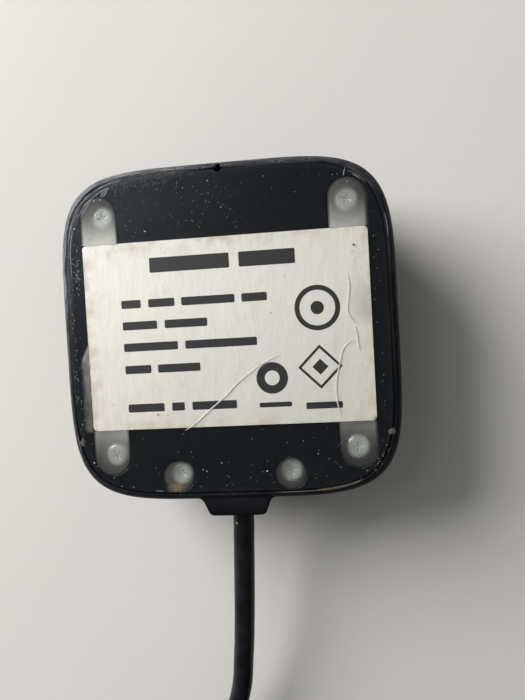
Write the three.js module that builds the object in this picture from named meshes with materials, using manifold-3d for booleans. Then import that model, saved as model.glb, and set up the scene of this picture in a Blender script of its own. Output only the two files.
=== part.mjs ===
// Remote satellite-navigation antenna with a magnetic base, a thin coaxial lead and a bayonet plug.
// It lies on its crown with the magnetic base up. Millimetres, +Z up, +X to the right of the base
// as it is read, and the lead leaves towards -Y. The origin is under the middle of the antenna.

import * as THREE from 'three';
import { mergeVertices } from 'three/addons/utils/BufferGeometryUtils.js';
import Module from 'manifold-3d';

const wasm = await Module();
wasm.setup();

// ---- Driving dimensions ----

const BODY_HALF = 19.55; // half the side of the square housing at its widest
const BODY_HEIGHT = 14;
const SQUARENESS = 5.0; // exponent of the superellipse that the housing follows
const BOSS_REACH = 2.4; // how far the cable boss stands out of the housing's side
const LIP_REACH = 0.35; // how far the grommet's lip stands out of the boss
const BODY_CENTRE_Y = (BOSS_REACH + LIP_REACH) / 2;

const OVERLAY_DEPTH = 0.2; // label and clear film together
const PLATE_TOP = BODY_HEIGHT - OVERLAY_DEPTH;
const PLATE_BOTTOM = 10.4;
const PLATE_HALF = 18.55;
const LIP_INNER_HALF = 18.67; // inside of the radome's lip, round the base plate
const LEDGE_TOP = 9.8;
const CAVITY_HALF = 17.4;
const CROWN_HALF = 12.4; // flat middle of the radome's crown
const CROWN_WALL = 1.6;

const SCREW_X = 14.3;
const SCREW_TOP_Y = 14.24;
const SCREW_BOTTOM_Y = -13.98;
const CABLE_SCREW_X = 6.53;
const CABLE_SCREW_Y = -16.47;
const WELL_FLOOR = 11.5;
const STADIUM_RADIUS = 2.15;
const ROUND_WELL_RADIUS = 1.85;

const LABEL_WIDTH = 32.9;
const LABEL_DEPTH = 21.7;

const BOARD_BOTTOM = 7.3;
const BOARD_TOP = 8.3;
const PATCH_SIDE = 25;
const PATCH_BOTTOM = 3.05;
const PATCH_TOP = 7.05;
const FEED_Y = -2.4;

const LEAD_DIAMETER = 2.6;
const LEAD_Z = 9; // height of the lead's centre where it leaves the boss
const MEETING_GAP = 0.3; // between solids of the lead that meet face to face

const COIL_CENTRE = [6, -79.5];
const COIL_MEAN_RADIUS = 18.2; // 14 lead diameters across at the middle of the turns
const TURN_PITCH = 2.65;
const TURNS_PER_LAYER = 5;
const COIL_LAYERS = 4;
const COIL_LIFT = 0.75; // the tie's strap passes under the bundle

const PLUG_REAR_X = -6.5;
const PLUG_Y = -115;
const PLUG_AXIS_Z = 7.3;
const NUT_RADIUS = 7.25;
const NUT_BORE_RADIUS = 4.95;
const NUT_REAR = 15.9;
const NUT_FRONT = 29.5;
const NECK_RADIUS = 4.2;

const SQUARE_SEGMENTS = 48;
const ROUND_SEGMENTS = 24;
const SMALL_SEGMENTS = 12;

const MATERIALS = {
  housing: { color: 0x16181b, roughness: 0.5, metalness: 0 },
  plate: { color: 0x0f1114, roughness: 0.35, metalness: 0 },
  film: { color: 0xdfe3e2, roughness: 0.2, metalness: 0, transparent: true, opacity: 0.35 },
  label: { color: 0xe9e7df, roughness: 0.4, metalness: 0 },
  rubber: { color: 0x101113, roughness: 0.7, metalness: 0 },
  nickel: { color: 0xb9bab5, roughness: 0.3, metalness: 1 },
  zinc: { color: 0xa9aea8, roughness: 0.4, metalness: 1 },
  board: { color: 0x1f5a36, roughness: 0.5, metalness: 0 },
  tinned: { color: 0xc4c4bf, roughness: 0.35, metalness: 1 },
  ceramic: { color: 0xcbb99a, roughness: 0.6, metalness: 0 },
  silver: { color: 0xd8d6cf, roughness: 0.35, metalness: 1 },
  tape: { color: 0xe2dfd2, roughness: 0.8, metalness: 0 },
  chip: { color: 0x1b1b1d, roughness: 0.5, metalness: 0 },
  brown: { color: 0x8d7556, roughness: 0.6, metalness: 0 },
  jacket: { color: 0x131416, roughness: 0.55, metalness: 0 },
  polyethylene: { color: 0xe9e9e4, roughness: 0.5, metalness: 0 },
  fluoropolymer: { color: 0xefeee9, roughness: 0.45, metalness: 0 },
  gold: { color: 0xcda349, roughness: 0.25, metalness: 1 },
  silicone: { color: 0x9b3a2c, roughness: 0.6, metalness: 0 },
};

// ---- Geometry helpers ----

// A closed solid of any closed geometry, with its faces turned outwards.
function solid(geometry) {
  const bare = new THREE.BufferGeometry();
  bare.setAttribute('position', geometry.attributes.position.clone());
  if (geometry.index) bare.setIndex(geometry.index.clone());
  const merged = mergeVertices(bare);
  const points = merged.attributes.position.array;
  const index = merged.index.array;
  const corners = [];
  let volume = 0;
  for (let i = 0; i < index.length; i += 3) {
    const [a, b, c] = [index[i], index[i + 1], index[i + 2]];
    if (a !== b && b !== c && c !== a) {
      corners.push(a, b, c);
      const at = [a, b, c].map((corner) => new THREE.Vector3().fromArray(points, 3 * corner));
      volume += at[0].dot(at[1].cross(at[2])) / 6;
    }
  }
  if (volume < 0) corners.reverse();
  return new wasm.Manifold(
    new wasm.Mesh({
      numProp: 3,
      vertProperties: Float32Array.from(points),
      triVerts: Uint32Array.from(corners),
    }),
  );
}

function cut(body, ...tools) {
  return tools.reduce((left, tool) => left.subtract(tool), body);
}

function join(body, ...others) {
  return others.reduce((whole, other) => whole.add(other), body);
}

// A named mesh of a solid, in one of the materials above.
function piece(name, body, material) {
  const made = body.getMesh();
  const geometry = new THREE.BufferGeometry();
  const positions = Float32Array.from(made.vertProperties);
  geometry.setAttribute('position', new THREE.BufferAttribute(positions, 3));
  geometry.setIndex(new THREE.BufferAttribute(Uint32Array.from(made.triVerts), 1));
  geometry.computeVertexNormals();
  const mesh = new THREE.Mesh(geometry, new THREE.MeshStandardMaterial(MATERIALS[material]));
  mesh.name = name;
  return mesh;
}

// A profile of [radius, height] points turned round Z. It starts and ends on the axis or closes.
function turned(profile, segments = ROUND_SEGMENTS) {
  const points = profile.map(([radius, height]) => new THREE.Vector2(radius, height));
  return new THREE.LatheGeometry(points, segments).rotateX(Math.PI / 2);
}

// A ring of rectangular section round Z.
function ring(inner, outer, low, high, segments = ROUND_SEGMENTS) {
  const section = [[inner, low], [outer, low], [outer, high], [inner, high], [inner, low]];
  return solid(turned(section, segments));
}

function disc(radius, low, high, segments = ROUND_SEGMENTS) {
  return solid(turned([[0, low], [radius, low], [radius, high], [0, high]], segments));
}

// The same turning, bent from a circle into the housing's superellipse: a radius in the profile
// becomes half the side of the square.
function squared(profile) {
  const bend = (value) => {
    if (Math.abs(value) < 1e-6) return 0;
    return Math.sign(value) * Math.abs(value) ** (2 / SQUARENESS);
  };
  const geometry = turned(profile, SQUARE_SEGMENTS);
  const position = geometry.attributes.position;
  for (let i = 0; i < position.count; i += 1) {
    const reach = Math.hypot(position.getX(i), position.getY(i));
    const angle = Math.atan2(position.getY(i), position.getX(i));
    position.setXY(i, reach * bend(Math.cos(angle)), reach * bend(Math.sin(angle)));
  }
  return solid(geometry);
}

function box([x0, x1], [y0, y1], [z0, z1]) {
  const geometry = new THREE.BoxGeometry(x1 - x0, y1 - y0, z1 - z0);
  return solid(geometry.translate((x0 + x1) / 2, (y0 + y1) / 2, (z0 + z1) / 2));
}

function post(x, y, radius, low, high, segments = SMALL_SEGMENTS) {
  return disc(radius, low, high, segments).translate([x, y, 0]);
}

// A round bar along Y at the lead's height, from one Y to another.
function barAlongY(radius, from, to, segments = ROUND_SEGMENTS) {
  const geometry = turned([[0, from], [radius, from], [radius, to], [0, to]], segments);
  return solid(geometry.rotateX(-Math.PI / 2).translate(0, 0, LEAD_Z));
}

function prism(shape, low, high, curveSegments = 6) {
  const settings = { depth: high - low, bevelEnabled: false, curveSegments };
  return solid(new THREE.ExtrudeGeometry(shape, settings).translate(0, 0, low));
}

// A quarter of an ellipse, as [radius, height] points from its foot to its side.
function quarter(centreRadius, centreHeight, across, down, steps) {
  return Array.from({ length: steps + 1 }, (_, i) => {
    const angle = (i / steps) * (Math.PI / 2);
    return [centreRadius + across * Math.sin(angle), centreHeight - down * Math.cos(angle)];
  });
}

function polygon(points) {
  return new THREE.Shape(points.map(([x, y]) => new THREE.Vector2(x, y)));
}

// ---- Housing: radome, base plate, gasket, film and label ----

const CORNER_SCREWS = [
  ['screw_top_left', -SCREW_X, SCREW_TOP_Y],
  ['screw_top_right', SCREW_X, SCREW_TOP_Y],
  ['screw_bottom_left', -SCREW_X, SCREW_BOTTOM_Y],
  ['screw_bottom_right', SCREW_X, SCREW_BOTTOM_Y],
];
const CABLE_SCREWS = [
  ['screw_cable_left', -CABLE_SCREW_X, CABLE_SCREW_Y],
  ['screw_cable_right', CABLE_SCREW_X, CABLE_SCREW_Y],
];
const SCREWS = [...CORNER_SCREWS, ...CABLE_SCREWS];

// Three small notches in the seam between the base plate and the radome's lip.
function seamNotches() {
  const radius = 0.48;
  const top = BODY_HEIGHT;
  const bottom = 12.2;
  const places = [[0, 18.65], [17.98, -12.2], [-17.98, -12.2]];
  return places.map(([x, y]) => post(x, y, radius, bottom, top));
}

function bossSolid() {
  const tip = -BODY_HALF - BOSS_REACH;
  const root = -BODY_HALF + 0.6;
  const outline = new THREE.Shape();
  outline.moveTo(-5.6, root);
  outline.quadraticCurveTo(-4.6, root - 0.9, -4.3, root - 1.5);
  outline.lineTo(-3.75, tip + 0.7);
  outline.quadraticCurveTo(-3.6, tip, -2.9, tip);
  outline.lineTo(2.9, tip);
  outline.quadraticCurveTo(3.6, tip, 3.75, tip + 0.7);
  outline.lineTo(4.3, root - 1.5);
  outline.quadraticCurveTo(4.6, root - 0.9, 5.6, root);
  return prism(outline, 5, 13.3);
}

const GROMMET_BORE = 2.15;

function radome() {
  const shoulderTop = 6.8;
  const shoulder = quarter(CROWN_HALF, shoulderTop, 6.5, shoulderTop, 8);
  const outside = squared([
    [0, 0],
    ...shoulder,
    [19.2, 10],
    [BODY_HALF, 12.4],
    [BODY_HALF - 0.12, 13.0],
    [BODY_HALF - 0.4, 13.45],
    [LIP_INNER_HALF, 13.7],
    [0, 13.7],
  ]);
  const innerShoulder = quarter(CROWN_HALF, 7.5, CAVITY_HALF - CROWN_HALF, 7.5 - CROWN_WALL, 6);
  const inside = squared([
    [0, CROWN_WALL],
    ...innerShoulder,
    [CAVITY_HALF, LEDGE_TOP],
    [LIP_INNER_HALF, LEDGE_TOP],
    [LIP_INNER_HALF, BODY_HEIGHT + 1],
    [0, BODY_HEIGHT + 1],
  ]);
  const posts = SCREWS.map(([, x, y]) => post(x, y, 1.4, 1, PLATE_BOTTOM));
  const pilots = SCREWS.map(([, x, y]) => post(x, y, 1.05, 5.4, PLATE_BOTTOM + 1));
  const ribs = [];
  for (const side of [-1, 1]) {
    for (const y of [-7, 7]) {
      const across = [12.9, 14.1].map((x) => side * x).sort((a, b) => a - b);
      ribs.push(box(across, [y - 1.5, y + 1.5], [1, BOARD_BOTTOM]));
    }
  }
  const inner = join(posts[0], ...posts.slice(1), ...ribs).intersect(outside);
  const shell = join(cut(outside, inside), inner, cut(bossSolid(), inside));
  const bore = barAlongY(GROMMET_BORE, -BODY_HALF - 4, -CAVITY_HALF + 1);
  return piece('radome', cut(shell, ...pilots, bore, ...seamNotches()), 'housing');
}

function stadiumWell(x) {
  const outline = new THREE.Shape();
  outline.absarc(0, SCREW_TOP_Y, STADIUM_RADIUS, 0, Math.PI, false);
  outline.absarc(0, SCREW_BOTTOM_Y, STADIUM_RADIUS, Math.PI, 2 * Math.PI, false);
  return prism(outline, WELL_FLOOR, BODY_HEIGHT + 1, 10).translate([x, 0, 0]);
}

function basePlate() {
  const chamfer = 0.4;
  const slab = squared([
    [0, PLATE_BOTTOM],
    [PLATE_HALF, PLATE_BOTTOM],
    [PLATE_HALF, PLATE_TOP - chamfer],
    [PLATE_HALF - chamfer, PLATE_TOP],
    [0, PLATE_TOP],
  ]);
  const wells = [stadiumWell(-SCREW_X), stadiumWell(SCREW_X)];
  const roundWells = CABLE_SCREWS.map(([, x, y]) =>
    post(x, y, ROUND_WELL_RADIUS, WELL_FLOOR, BODY_HEIGHT + 1, ROUND_SEGMENTS),
  );
  const clearances = SCREWS.map(([, x, y]) => post(x, y, 1.1, PLATE_BOTTOM - 1, WELL_FLOOR + 1));
  const cablePocket = box([-3.1, 3.1], [-17.6, -14.6], [PLATE_BOTTOM - 1, 12.1]);
  const cableArch = barAlongY(GROMMET_BORE, -BODY_HALF - 1, -17);
  const stubs = [];
  for (const side of [-1, 1]) {
    for (const y of [-7, 7]) {
      const across = [12.9, 13.9].map((x) => side * x).sort((a, b) => a - b);
      stubs.push(box(across, [y - 1.2, y + 1.2], [BOARD_TOP + 0.05, PLATE_BOTTOM + 0.5]));
    }
  }
  const tools = [...wells, ...roundWells, ...clearances, cablePocket, cableArch];
  return piece('base_plate', join(cut(slab, ...tools, ...seamNotches()), ...stubs), 'plate');
}

function gasket() {
  const low = LEDGE_TOP + 0.02;
  const high = PLATE_BOTTOM - 0.02;
  const loop = squared([[18.0, low], [18.45, low], [18.45, high], [18.0, high], [18.0, low]]);
  const bore = barAlongY(GROMMET_BORE + 0.2, -BODY_HALF - 1, -17);
  return piece('housing_gasket', cut(loop, bore), 'rubber');
}

const LABEL_TOP = PLATE_TOP + 0.11;

function ratingLabel() {
  const label = box(
    [-LABEL_WIDTH / 2, LABEL_WIDTH / 2],
    [-LABEL_DEPTH / 2, LABEL_DEPTH / 2],
    [PLATE_TOP + 0.03, LABEL_TOP],
  );
  return piece('rating_label', label, 'label');
}

function baseFilm() {
  const half = 18.05;
  const sheet = squared([
    [0, PLATE_TOP + 0.03],
    [half, PLATE_TOP + 0.03],
    [half, BODY_HEIGHT],
    [0, BODY_HEIGHT],
  ]);
  const pocket = box(
    [-LABEL_WIDTH / 2 - 0.05, LABEL_WIDTH / 2 + 0.05],
    [-LABEL_DEPTH / 2 - 0.05, LABEL_DEPTH / 2 + 0.05],
    [PLATE_TOP - 1, LABEL_TOP + 0.03],
  );
  return piece('base_film', cut(sheet, pocket), 'film');
}

// A pan-head screw with a cross recess, its head on a well's floor.
function screw(name, x, y) {
  const headTop = WELL_FLOOR + 1.15;
  const body = solid(turned([
    [0, 6],
    [0.5, 6.3],
    [0.92, 6.9],
    [0.92, WELL_FLOOR + 0.02],
    [1.45, WELL_FLOOR + 0.02],
    [1.45, WELL_FLOOR + 0.55],
    [1.25, headTop - 0.2],
    [0.8, headTop],
    [0, headTop],
  ], SMALL_SEGMENTS));
  const slot = box([-0.85, 0.85], [-0.17, 0.17], [headTop - 0.5, headTop + 1]);
  const cross = join(slot, slot.rotate([0, 0, 90]));
  return piece(name, cut(body, cross).translate([x, y, 0]), 'zinc');
}

function magnet(name, x) {
  const middle = (SCREW_TOP_Y + SCREW_BOTTOM_Y) / 2;
  const bar = box([x - 1.9, x + 1.9], [middle - 12, middle + 12], [WELL_FLOOR + 0.02, 13.5]);
  return piece(name, bar, 'nickel');
}

// ---- Electronics: amplifier board, screening can and ceramic patch ----

function amplifierBoard() {
  const outline = polygon([
    [-4.5, -14.5], [4.5, -14.5], [4.5, -12.2], [14.2, -12.2], [14.2, 12.5], [-14.2, 12.5],
    [-14.2, -12.2], [-4.5, -12.2],
  ]);
  const feedHole = post(0, FEED_Y, 0.55, BOARD_BOTTOM - 1, BOARD_TOP + 1);
  return piece('amplifier_board', cut(prism(outline, BOARD_BOTTOM, BOARD_TOP), feedHole), 'board');
}

function shieldCan() {
  const wall = 0.25;
  const outer = box([-9, 9], [-9.5, 8.5], [BOARD_TOP + 0.02, 10.2]);
  const inner = box([-9 + wall, 9 - wall], [-9.5 + wall, 8.5 - wall], [BOARD_TOP - 1, 10.2 - wall]);
  return piece('shield_can', cut(outer, inner), 'tinned');
}

// Each part's name, centre, size and material, standing on the board under the can.
const BOARD_PARTS = [
  ['amplifier_chip', [-4.2, 3.2], [2, 2, 0.8], 'chip'],
  ['saw_filter', [0.6, 3.2], [3, 3, 1.1], 'silver'],
  ['output_amplifier', [5.4, 3.2], [1.6, 2, 0.9], 'chip'],
  ['voltage_regulator', [-3.6, -5.2], [2.9, 1.6, 1.1], 'chip'],
  ['bias_inductor', [2.6, -5.8], [2, 1.25, 1.2], 'brown'],
  ['supply_capacitor', [6, -5.2], [2, 1.25, 1.2], 'brown'],
];

function boardPart(name, [x, y], [width, depth, height], material) {
  const low = BOARD_TOP + 0.05;
  const block = box([x - width / 2, x + width / 2], [y - depth / 2, y + depth / 2], [low, low + height]);
  return piece(name, block, material);
}

function patchParts() {
  const half = PATCH_SIDE / 2;
  const hole = post(0, FEED_Y, 0.55, 0, BODY_HEIGHT);
  const ceramic = box([-half, half], [-half, half], [PATCH_BOTTOM, PATCH_TOP]);
  const tape = box([-12, 12], [-12, 12], [PATCH_TOP + 0.02, BOARD_BOTTOM - 0.02]);
  const corner = 1.2; // two opposite corners are trimmed for circular polarisation
  const edge = 10.6;
  const electrodeOutline = polygon([
    [-edge, -edge + corner], [-edge + corner, -edge], [edge, -edge], [edge, edge - corner],
    [edge - corner, edge], [-edge, edge],
  ]);
  const electrode = prism(electrodeOutline, PATCH_BOTTOM - 0.1, PATCH_BOTTOM - 0.02);
  const pin = turned([
    [0, 2.6],
    [0.7, 2.6],
    [1, 2.75],
    [1, PATCH_BOTTOM - 0.13],
    [0.4, PATCH_BOTTOM - 0.13],
    [0.4, BOARD_TOP + 0.6],
    [0, BOARD_TOP + 0.6],
  ], SMALL_SEGMENTS).translate(0, FEED_Y, 0);
  return [
    piece('patch_ceramic', cut(ceramic, hole), 'ceramic'),
    piece('patch_electrode', cut(electrode, hole), 'silver'),
    piece('patch_tape', cut(tape, hole), 'tape'),
    piece('patch_feed_pin', solid(pin), 'tinned'),
  ];
}

// ---- Where the lead enters: grommet, pull collar and the stripped tail ----

const BOSS_TIP = -BODY_HALF - BOSS_REACH;
const EXIT_FACE = BOSS_TIP - LIP_REACH;

function leadEntry() {
  const jacket = LEAD_DIAMETER / 2;
  const sleeve = barAlongY(GROMMET_BORE - 0.08, BOSS_TIP - 0.1, -CAVITY_HALF - 0.1);
  const lip = barAlongY(GROMMET_BORE, EXIT_FACE, BOSS_TIP - 0.03);
  const flange = barAlongY(2.6, -CAVITY_HALF + 0.2, -16.3);
  const neck = barAlongY(GROMMET_BORE - 0.08, -CAVITY_HALF - 0.2, -16.4);
  const leadBore = barAlongY(jacket + 0.06, -30, -10);
  const collar = barAlongY(1.9, -16, -14.8);
  return [
    piece('cable_grommet', cut(join(sleeve, lip, neck, flange), leadBore), 'rubber'),
    piece('pull_collar', cut(collar, leadBore), 'tinned'),
    piece('lead_inlet', barAlongY(jacket, EXIT_FACE, -14.75, SMALL_SEGMENTS), 'jacket'),
    piece('lead_shield_tail', barAlongY(0.62, -14.7, -12.9, SMALL_SEGMENTS), 'tinned'),
    piece('lead_core_tail', barAlongY(0.42, -12.85, -11.4, SMALL_SEGMENTS), 'polyethylene'),
  ];
}

// ---- The free lead: a run to the coil, the coil with its tie, and a run to the plug ----

const EXIT_Y = EXIT_FACE + BODY_CENTRE_Y;
const RUN_TO_COIL = [
  [0, EXIT_Y - MEETING_GAP, LEAD_Z],
  [-0.1, -24, 8.95],
  [-0.3, -27.5, 8.65],
  [-0.55, -31.2, 8.15],
  [-0.85, -35, 7.5],
  [-1.4, -40.3, 6.35],
  [-2.4, -46.6, 4.95],
  [-4.2, -51, 3.95],
  [-7.2, -55.2, 3.1],
];
const RUN_TO_PLUG = [
  [-18.9, -91.8, 9.2],
  [-19.4, -96, 8.2],
  [-19.9, -101, 5.6],
  [-19.3, -105.6, 3.2],
  [-17.4, -109.8, 2.4],
  [-14.4, -113, 3.4],
  [-11, -114.7, 5.8],
  [PLUG_REAR_X - MEETING_GAP, PLUG_Y, PLUG_AXIS_Z],
];

function leadRun(name, places, steps) {
  const sides = 8;
  const section = new THREE.Shape();
  section.absarc(0, 0, LEAD_DIAMETER / 2, 0, 2 * Math.PI, false);
  const route = new THREE.CatmullRomCurve3(places.map((place) => new THREE.Vector3(...place)));
  const settings = { steps, extrudePath: route, curveSegments: sides, bevelEnabled: false };
  return piece(name, solid(new THREE.ExtrudeGeometry(section, settings)), 'jacket');
}

function coilAndTie() {
  const halfWidth = (TURNS_PER_LAYER * TURN_PITCH + LEAD_DIAMETER) / 2;
  const inner = COIL_MEAN_RADIUS - halfWidth;
  const outer = COIL_MEAN_RADIUS + halfWidth;
  const low = COIL_LIFT;
  const high = COIL_LIFT + COIL_LAYERS * TURN_PITCH;
  const round = 0.9; // the outer turns' own roundness at the bundle's edges
  const bundle = turned([
    [inner, low + round],
    [inner + round, low],
    [outer - round, low],
    [outer, low + round],
    [outer, high - round],
    [outer - round, high],
    [inner + round, high],
    [inner, high - round],
    [inner, low + round],
  ], 48);
  const gap = MEETING_GAP;
  const thickness = COIL_LIFT - gap;
  const [x, y] = COIL_CENTRE;
  const hole = box([inner - gap, outer + gap], [-5, 5], [low - gap, high + gap]);
  const strap = box(
    [inner - gap - thickness, outer + gap + thickness],
    [-1.6, 1.6],
    [0, high + gap + thickness],
  );
  const tie = cut(strap, hole);
  return [
    piece('lead_coil', solid(bundle).translate([x, y, 0]), 'jacket'),
    piece('coil_tie', tie.translate([x, y, 0]), 'rubber'),
  ];
}

// ---- Bayonet plug, built along +Z from the lead's side and then laid along +X ----

function plugBody() {
  const stemBore = 0.9;
  const socket = 2.92;
  return piece('plug_body', solid(turned([
    [stemBore, 9.6],
    [1.4, 9.6],
    [1.4, 13.6],
    [4.4, 13.6],
    [4.4, 15.1],
    [3.7, 15.1],
    [3.7, NUT_REAR],
    [NECK_RADIUS, NUT_REAR],
    [NECK_RADIUS, 19.2],
    [4.85, 19.2],
    [4.85, 20.2],
    [socket, 20.2],
    [socket, 15],
    [stemBore, 15],
    [stemBore, 9.6],
  ])), 'nickel');
}

function plugBoot() {
  return piece('plug_boot', solid(turned([
    [1.36, 0],
    [1.8, 0],
    [2.1, 2],
    [3.15, 9],
    [3.15, 10],
    [2.4, 10],
    [2.4, 4.6],
    [1.36, 4.6],
    [1.36, 0],
  ])), 'rubber');
}

function outerContact() {
  const sleeve = ring(3.5, 4.05, 20.25, 28.4);
  const slit = box([-5, 5], [-0.2, 0.2], [22.6, 30]);
  return piece('plug_outer_contact', cut(sleeve, slit, slit.rotate([0, 0, 90])), 'nickel');
}

function insulatorAndPin() {
  const insulator = turned([
    [0.74, 15.05],
    [2.85, 15.05],
    [2.85, 20.25],
    [3.4, 20.25],
    [3.4, 22],
    [0.74, 22],
    [0.74, 15.05],
  ]);
  const pin = turned([
    [0, 14.2],
    [0.66, 14.2],
    [0.66, 26.6],
    [0.3, 27.6],
    [0, 27.7],
  ], SMALL_SEGMENTS);
  return [
    piece('plug_insulator', solid(insulator), 'fluoropolymer'),
    piece('plug_pin', solid(pin), 'gold'),
  ];
}

function retainingRing() {
  const gapInRing = box([-0.7, 0.7], [3, 6], [15, 16]);
  return piece('retaining_ring', cut(ring(3.75, 4.75, 15.2, 15.8), gapInRing), 'nickel');
}

function waveSpring() {
  const waves = 3;
  const height = 0.35;
  const middle = 18.45;
  const half = 0.12;
  const section = [
    [4.3, middle - half],
    [4.8, middle - half],
    [4.8, middle + half],
    [4.3, middle + half],
    [4.3, middle - half],
  ];
  const geometry = turned(section, 30);
  const position = geometry.attributes.position;
  for (let i = 0; i < position.count; i += 1) {
    const angle = Math.atan2(position.getY(i), position.getX(i));
    position.setZ(i, position.getZ(i) + height * Math.cos(waves * angle));
  }
  return piece('wave_spring', solid(geometry), 'nickel');
}

// One bayonet track: a mouth inside the front edge, a ramp through the wall and a round seat.
function bayonetTrack(turn) {
  const tools = [box([NUT_BORE_RADIUS - 1, 6.3], [-1.15, 1.15], [26.6, NUT_FRONT + 1])];
  const steps = 5;
  for (let i = 0; i <= steps; i += 1) {
    const share = i / steps;
    const radius = i === steps ? 1.3 : 1.1;
    const bar = solid(turned([[0, 3.5], [radius, 3.5], [radius, 9], [0, 9]], 12));
    const along = 26.6 - 4.6 * share;
    tools.push(bar.rotate([0, 90, 0]).translate([0, 0, along]).rotate([0, 0, 58 * share]));
  }
  return join(tools[0], ...tools.slice(1)).rotate([0, 0, turn]);
}

function couplingNut() {
  const shell = solid(turned([
    [4.3, NUT_REAR],
    [5.9, NUT_REAR],
    [6.6, 16.6],
    [NUT_RADIUS, 17],
    [NUT_RADIUS, 21.5],
    [6.9, 21.8],
    [6.9, 28.9],
    [6.6, NUT_FRONT],
    [5.2, NUT_FRONT],
    [NUT_BORE_RADIUS, 29.2],
    [NUT_BORE_RADIUS, 17.2],
    [4.3, 17.2],
    [4.3, NUT_REAR],
  ], 32));
  return piece('coupling_nut', cut(shell, bayonetTrack(0), bayonetTrack(180)), 'nickel');
}

function plugParts() {
  return [
    plugBoot(),
    piece('crimp_ferrule', ring(1.55, 2.3, 5, 13.4), 'nickel'),
    plugBody(),
    outerContact(),
    ...insulatorAndPin(),
    piece('plug_seal', ring(4.15, 4.85, 20.3, 21.1), 'silicone'),
    retainingRing(),
    piece('thrust_washer', ring(4.3, 4.85, 17.3, 17.7), 'nickel'),
    waveSpring(),
    couplingNut(),
  ];
}

// ---- Assembly ----

const antenna = new THREE.Group();

const housing = new THREE.Group();
housing.position.set(0, BODY_CENTRE_Y, 0);
housing.add(radome(), basePlate(), gasket(), ratingLabel(), baseFilm());
housing.add(magnet('magnet_left', -SCREW_X), magnet('magnet_right', SCREW_X));
for (const [name, x, y] of SCREWS) housing.add(screw(name, x, y));
housing.add(amplifierBoard(), shieldCan(), ...patchParts());
for (const part of BOARD_PARTS) housing.add(boardPart(...part));
housing.add(...leadEntry());

const plug = new THREE.Group();
plug.position.set(PLUG_REAR_X, PLUG_Y, PLUG_AXIS_Z);
plug.rotation.y = Math.PI / 2;
plug.add(...plugParts());

antenna.add(housing, plug, ...coilAndTie());
antenna.add(leadRun('lead_run', RUN_TO_COIL, 10), leadRun('lead_end', RUN_TO_PLUG, 8));

export default antenna;
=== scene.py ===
# Remote satellite-navigation antenna, base up, with its coiled lead and bayonet plug.
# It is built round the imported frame. Shapes are worked out in millimetres and scaled to metres
# as each mesh is made. The square housing is centred on x = 0, y = BODY_CENTRE_Y.

import math
import random

import bmesh
import bpy
from mathutils import Matrix, Vector


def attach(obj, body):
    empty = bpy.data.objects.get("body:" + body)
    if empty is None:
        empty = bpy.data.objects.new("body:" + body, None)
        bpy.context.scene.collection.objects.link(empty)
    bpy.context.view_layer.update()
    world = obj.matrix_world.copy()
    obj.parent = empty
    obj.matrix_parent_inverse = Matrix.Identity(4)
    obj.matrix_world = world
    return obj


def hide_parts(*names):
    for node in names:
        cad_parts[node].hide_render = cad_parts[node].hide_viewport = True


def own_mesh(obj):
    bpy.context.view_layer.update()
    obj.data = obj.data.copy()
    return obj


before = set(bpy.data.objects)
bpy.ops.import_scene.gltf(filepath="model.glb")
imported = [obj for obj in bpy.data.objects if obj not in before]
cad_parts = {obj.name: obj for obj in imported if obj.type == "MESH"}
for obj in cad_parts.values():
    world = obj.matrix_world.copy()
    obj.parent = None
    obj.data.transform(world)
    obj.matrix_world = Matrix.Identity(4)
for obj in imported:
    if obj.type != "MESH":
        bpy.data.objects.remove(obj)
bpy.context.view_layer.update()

MM = 0.001

# ---- Driving dimensions, in millimetres, as in the CAD model ----

BODY_HALF = 19.55
SQUARENESS = 5.0
BOSS_REACH = 2.4
BOSS_SET_BACK = 0.45  # rounding that brings the boss's tip in from its CAD block
LIP_REACH = 0.35
BODY_CENTRE_Y = (BOSS_REACH + LIP_REACH) / 2
BOSS_TIP_Y = BODY_CENTRE_Y - BODY_HALF - BOSS_REACH
EXIT_Y = BOSS_TIP_Y - LIP_REACH

PLATE_TOP = 13.8
PLATE_BOTTOM = 10.4
PLATE_HALF = 18.6
LIP_INNER_HALF = 18.65
LEDGE_TOP = 9.8
CAVITY_HALF = 17.4
CROWN_HALF = 12.4
CROWN_WALL = 1.6
SHOULDER_TOP = 6.8
SHOULDER_REACH = 6.5
NOTCH_RADIUS = 0.48
NOTCH_FLOOR = 12.2
NOTCHES = [(0, 18.65), (17.98, -12.2), (-17.98, -12.2)]

SCREW_X = 14.3
SCREW_TOP_Y = 14.24
SCREW_BOTTOM_Y = -13.98
CABLE_SCREW_X = 6.53
CABLE_SCREW_Y = -16.47
WELL_FLOOR = 11.5
STADIUM_RADIUS = 2.15
ROUND_WELL_RADIUS = 1.85
SCREWS = {  # place from the housing's centre, and the angle each screw was left at
    "top_left": (-SCREW_X, SCREW_TOP_Y, 12),
    "top_right": (SCREW_X, SCREW_TOP_Y, -20),
    "bottom_left": (-SCREW_X, SCREW_BOTTOM_Y, 34),
    "bottom_right": (SCREW_X, SCREW_BOTTOM_Y, 5),
    "cable_left": (-CABLE_SCREW_X, CABLE_SCREW_Y, -38),
    "cable_right": (CABLE_SCREW_X, CABLE_SCREW_Y, 22),
}

LABEL_WIDTH = 32.9
LABEL_DEPTH = 21.7
LABEL_TOP = 13.91
FILM_HALF = 18.36
BUBBLE_HAZE = 0.85

LEAD_DIAMETER = 2.6
LEAD_Z = 9.0
GROMMET_BORE = 2.15

COIL_CENTRE = (6.0, -79.5)
COIL_MEAN_RADIUS = 18.2
TURN_PITCH = 2.65
TURNS_PER_LAYER = 5
COIL_LAYERS = 4
COIL_LIFT = 0.75

PLUG_REAR_X = -6.5
PLUG_Y = -115.0
PLUG_Z = 7.3
NUT_RADIUS = 7.25
NUT_REAR = 15.9
NUT_FRONT = 29.5


def link(obj):
    bpy.context.collection.objects.link(obj)
    return obj


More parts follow.
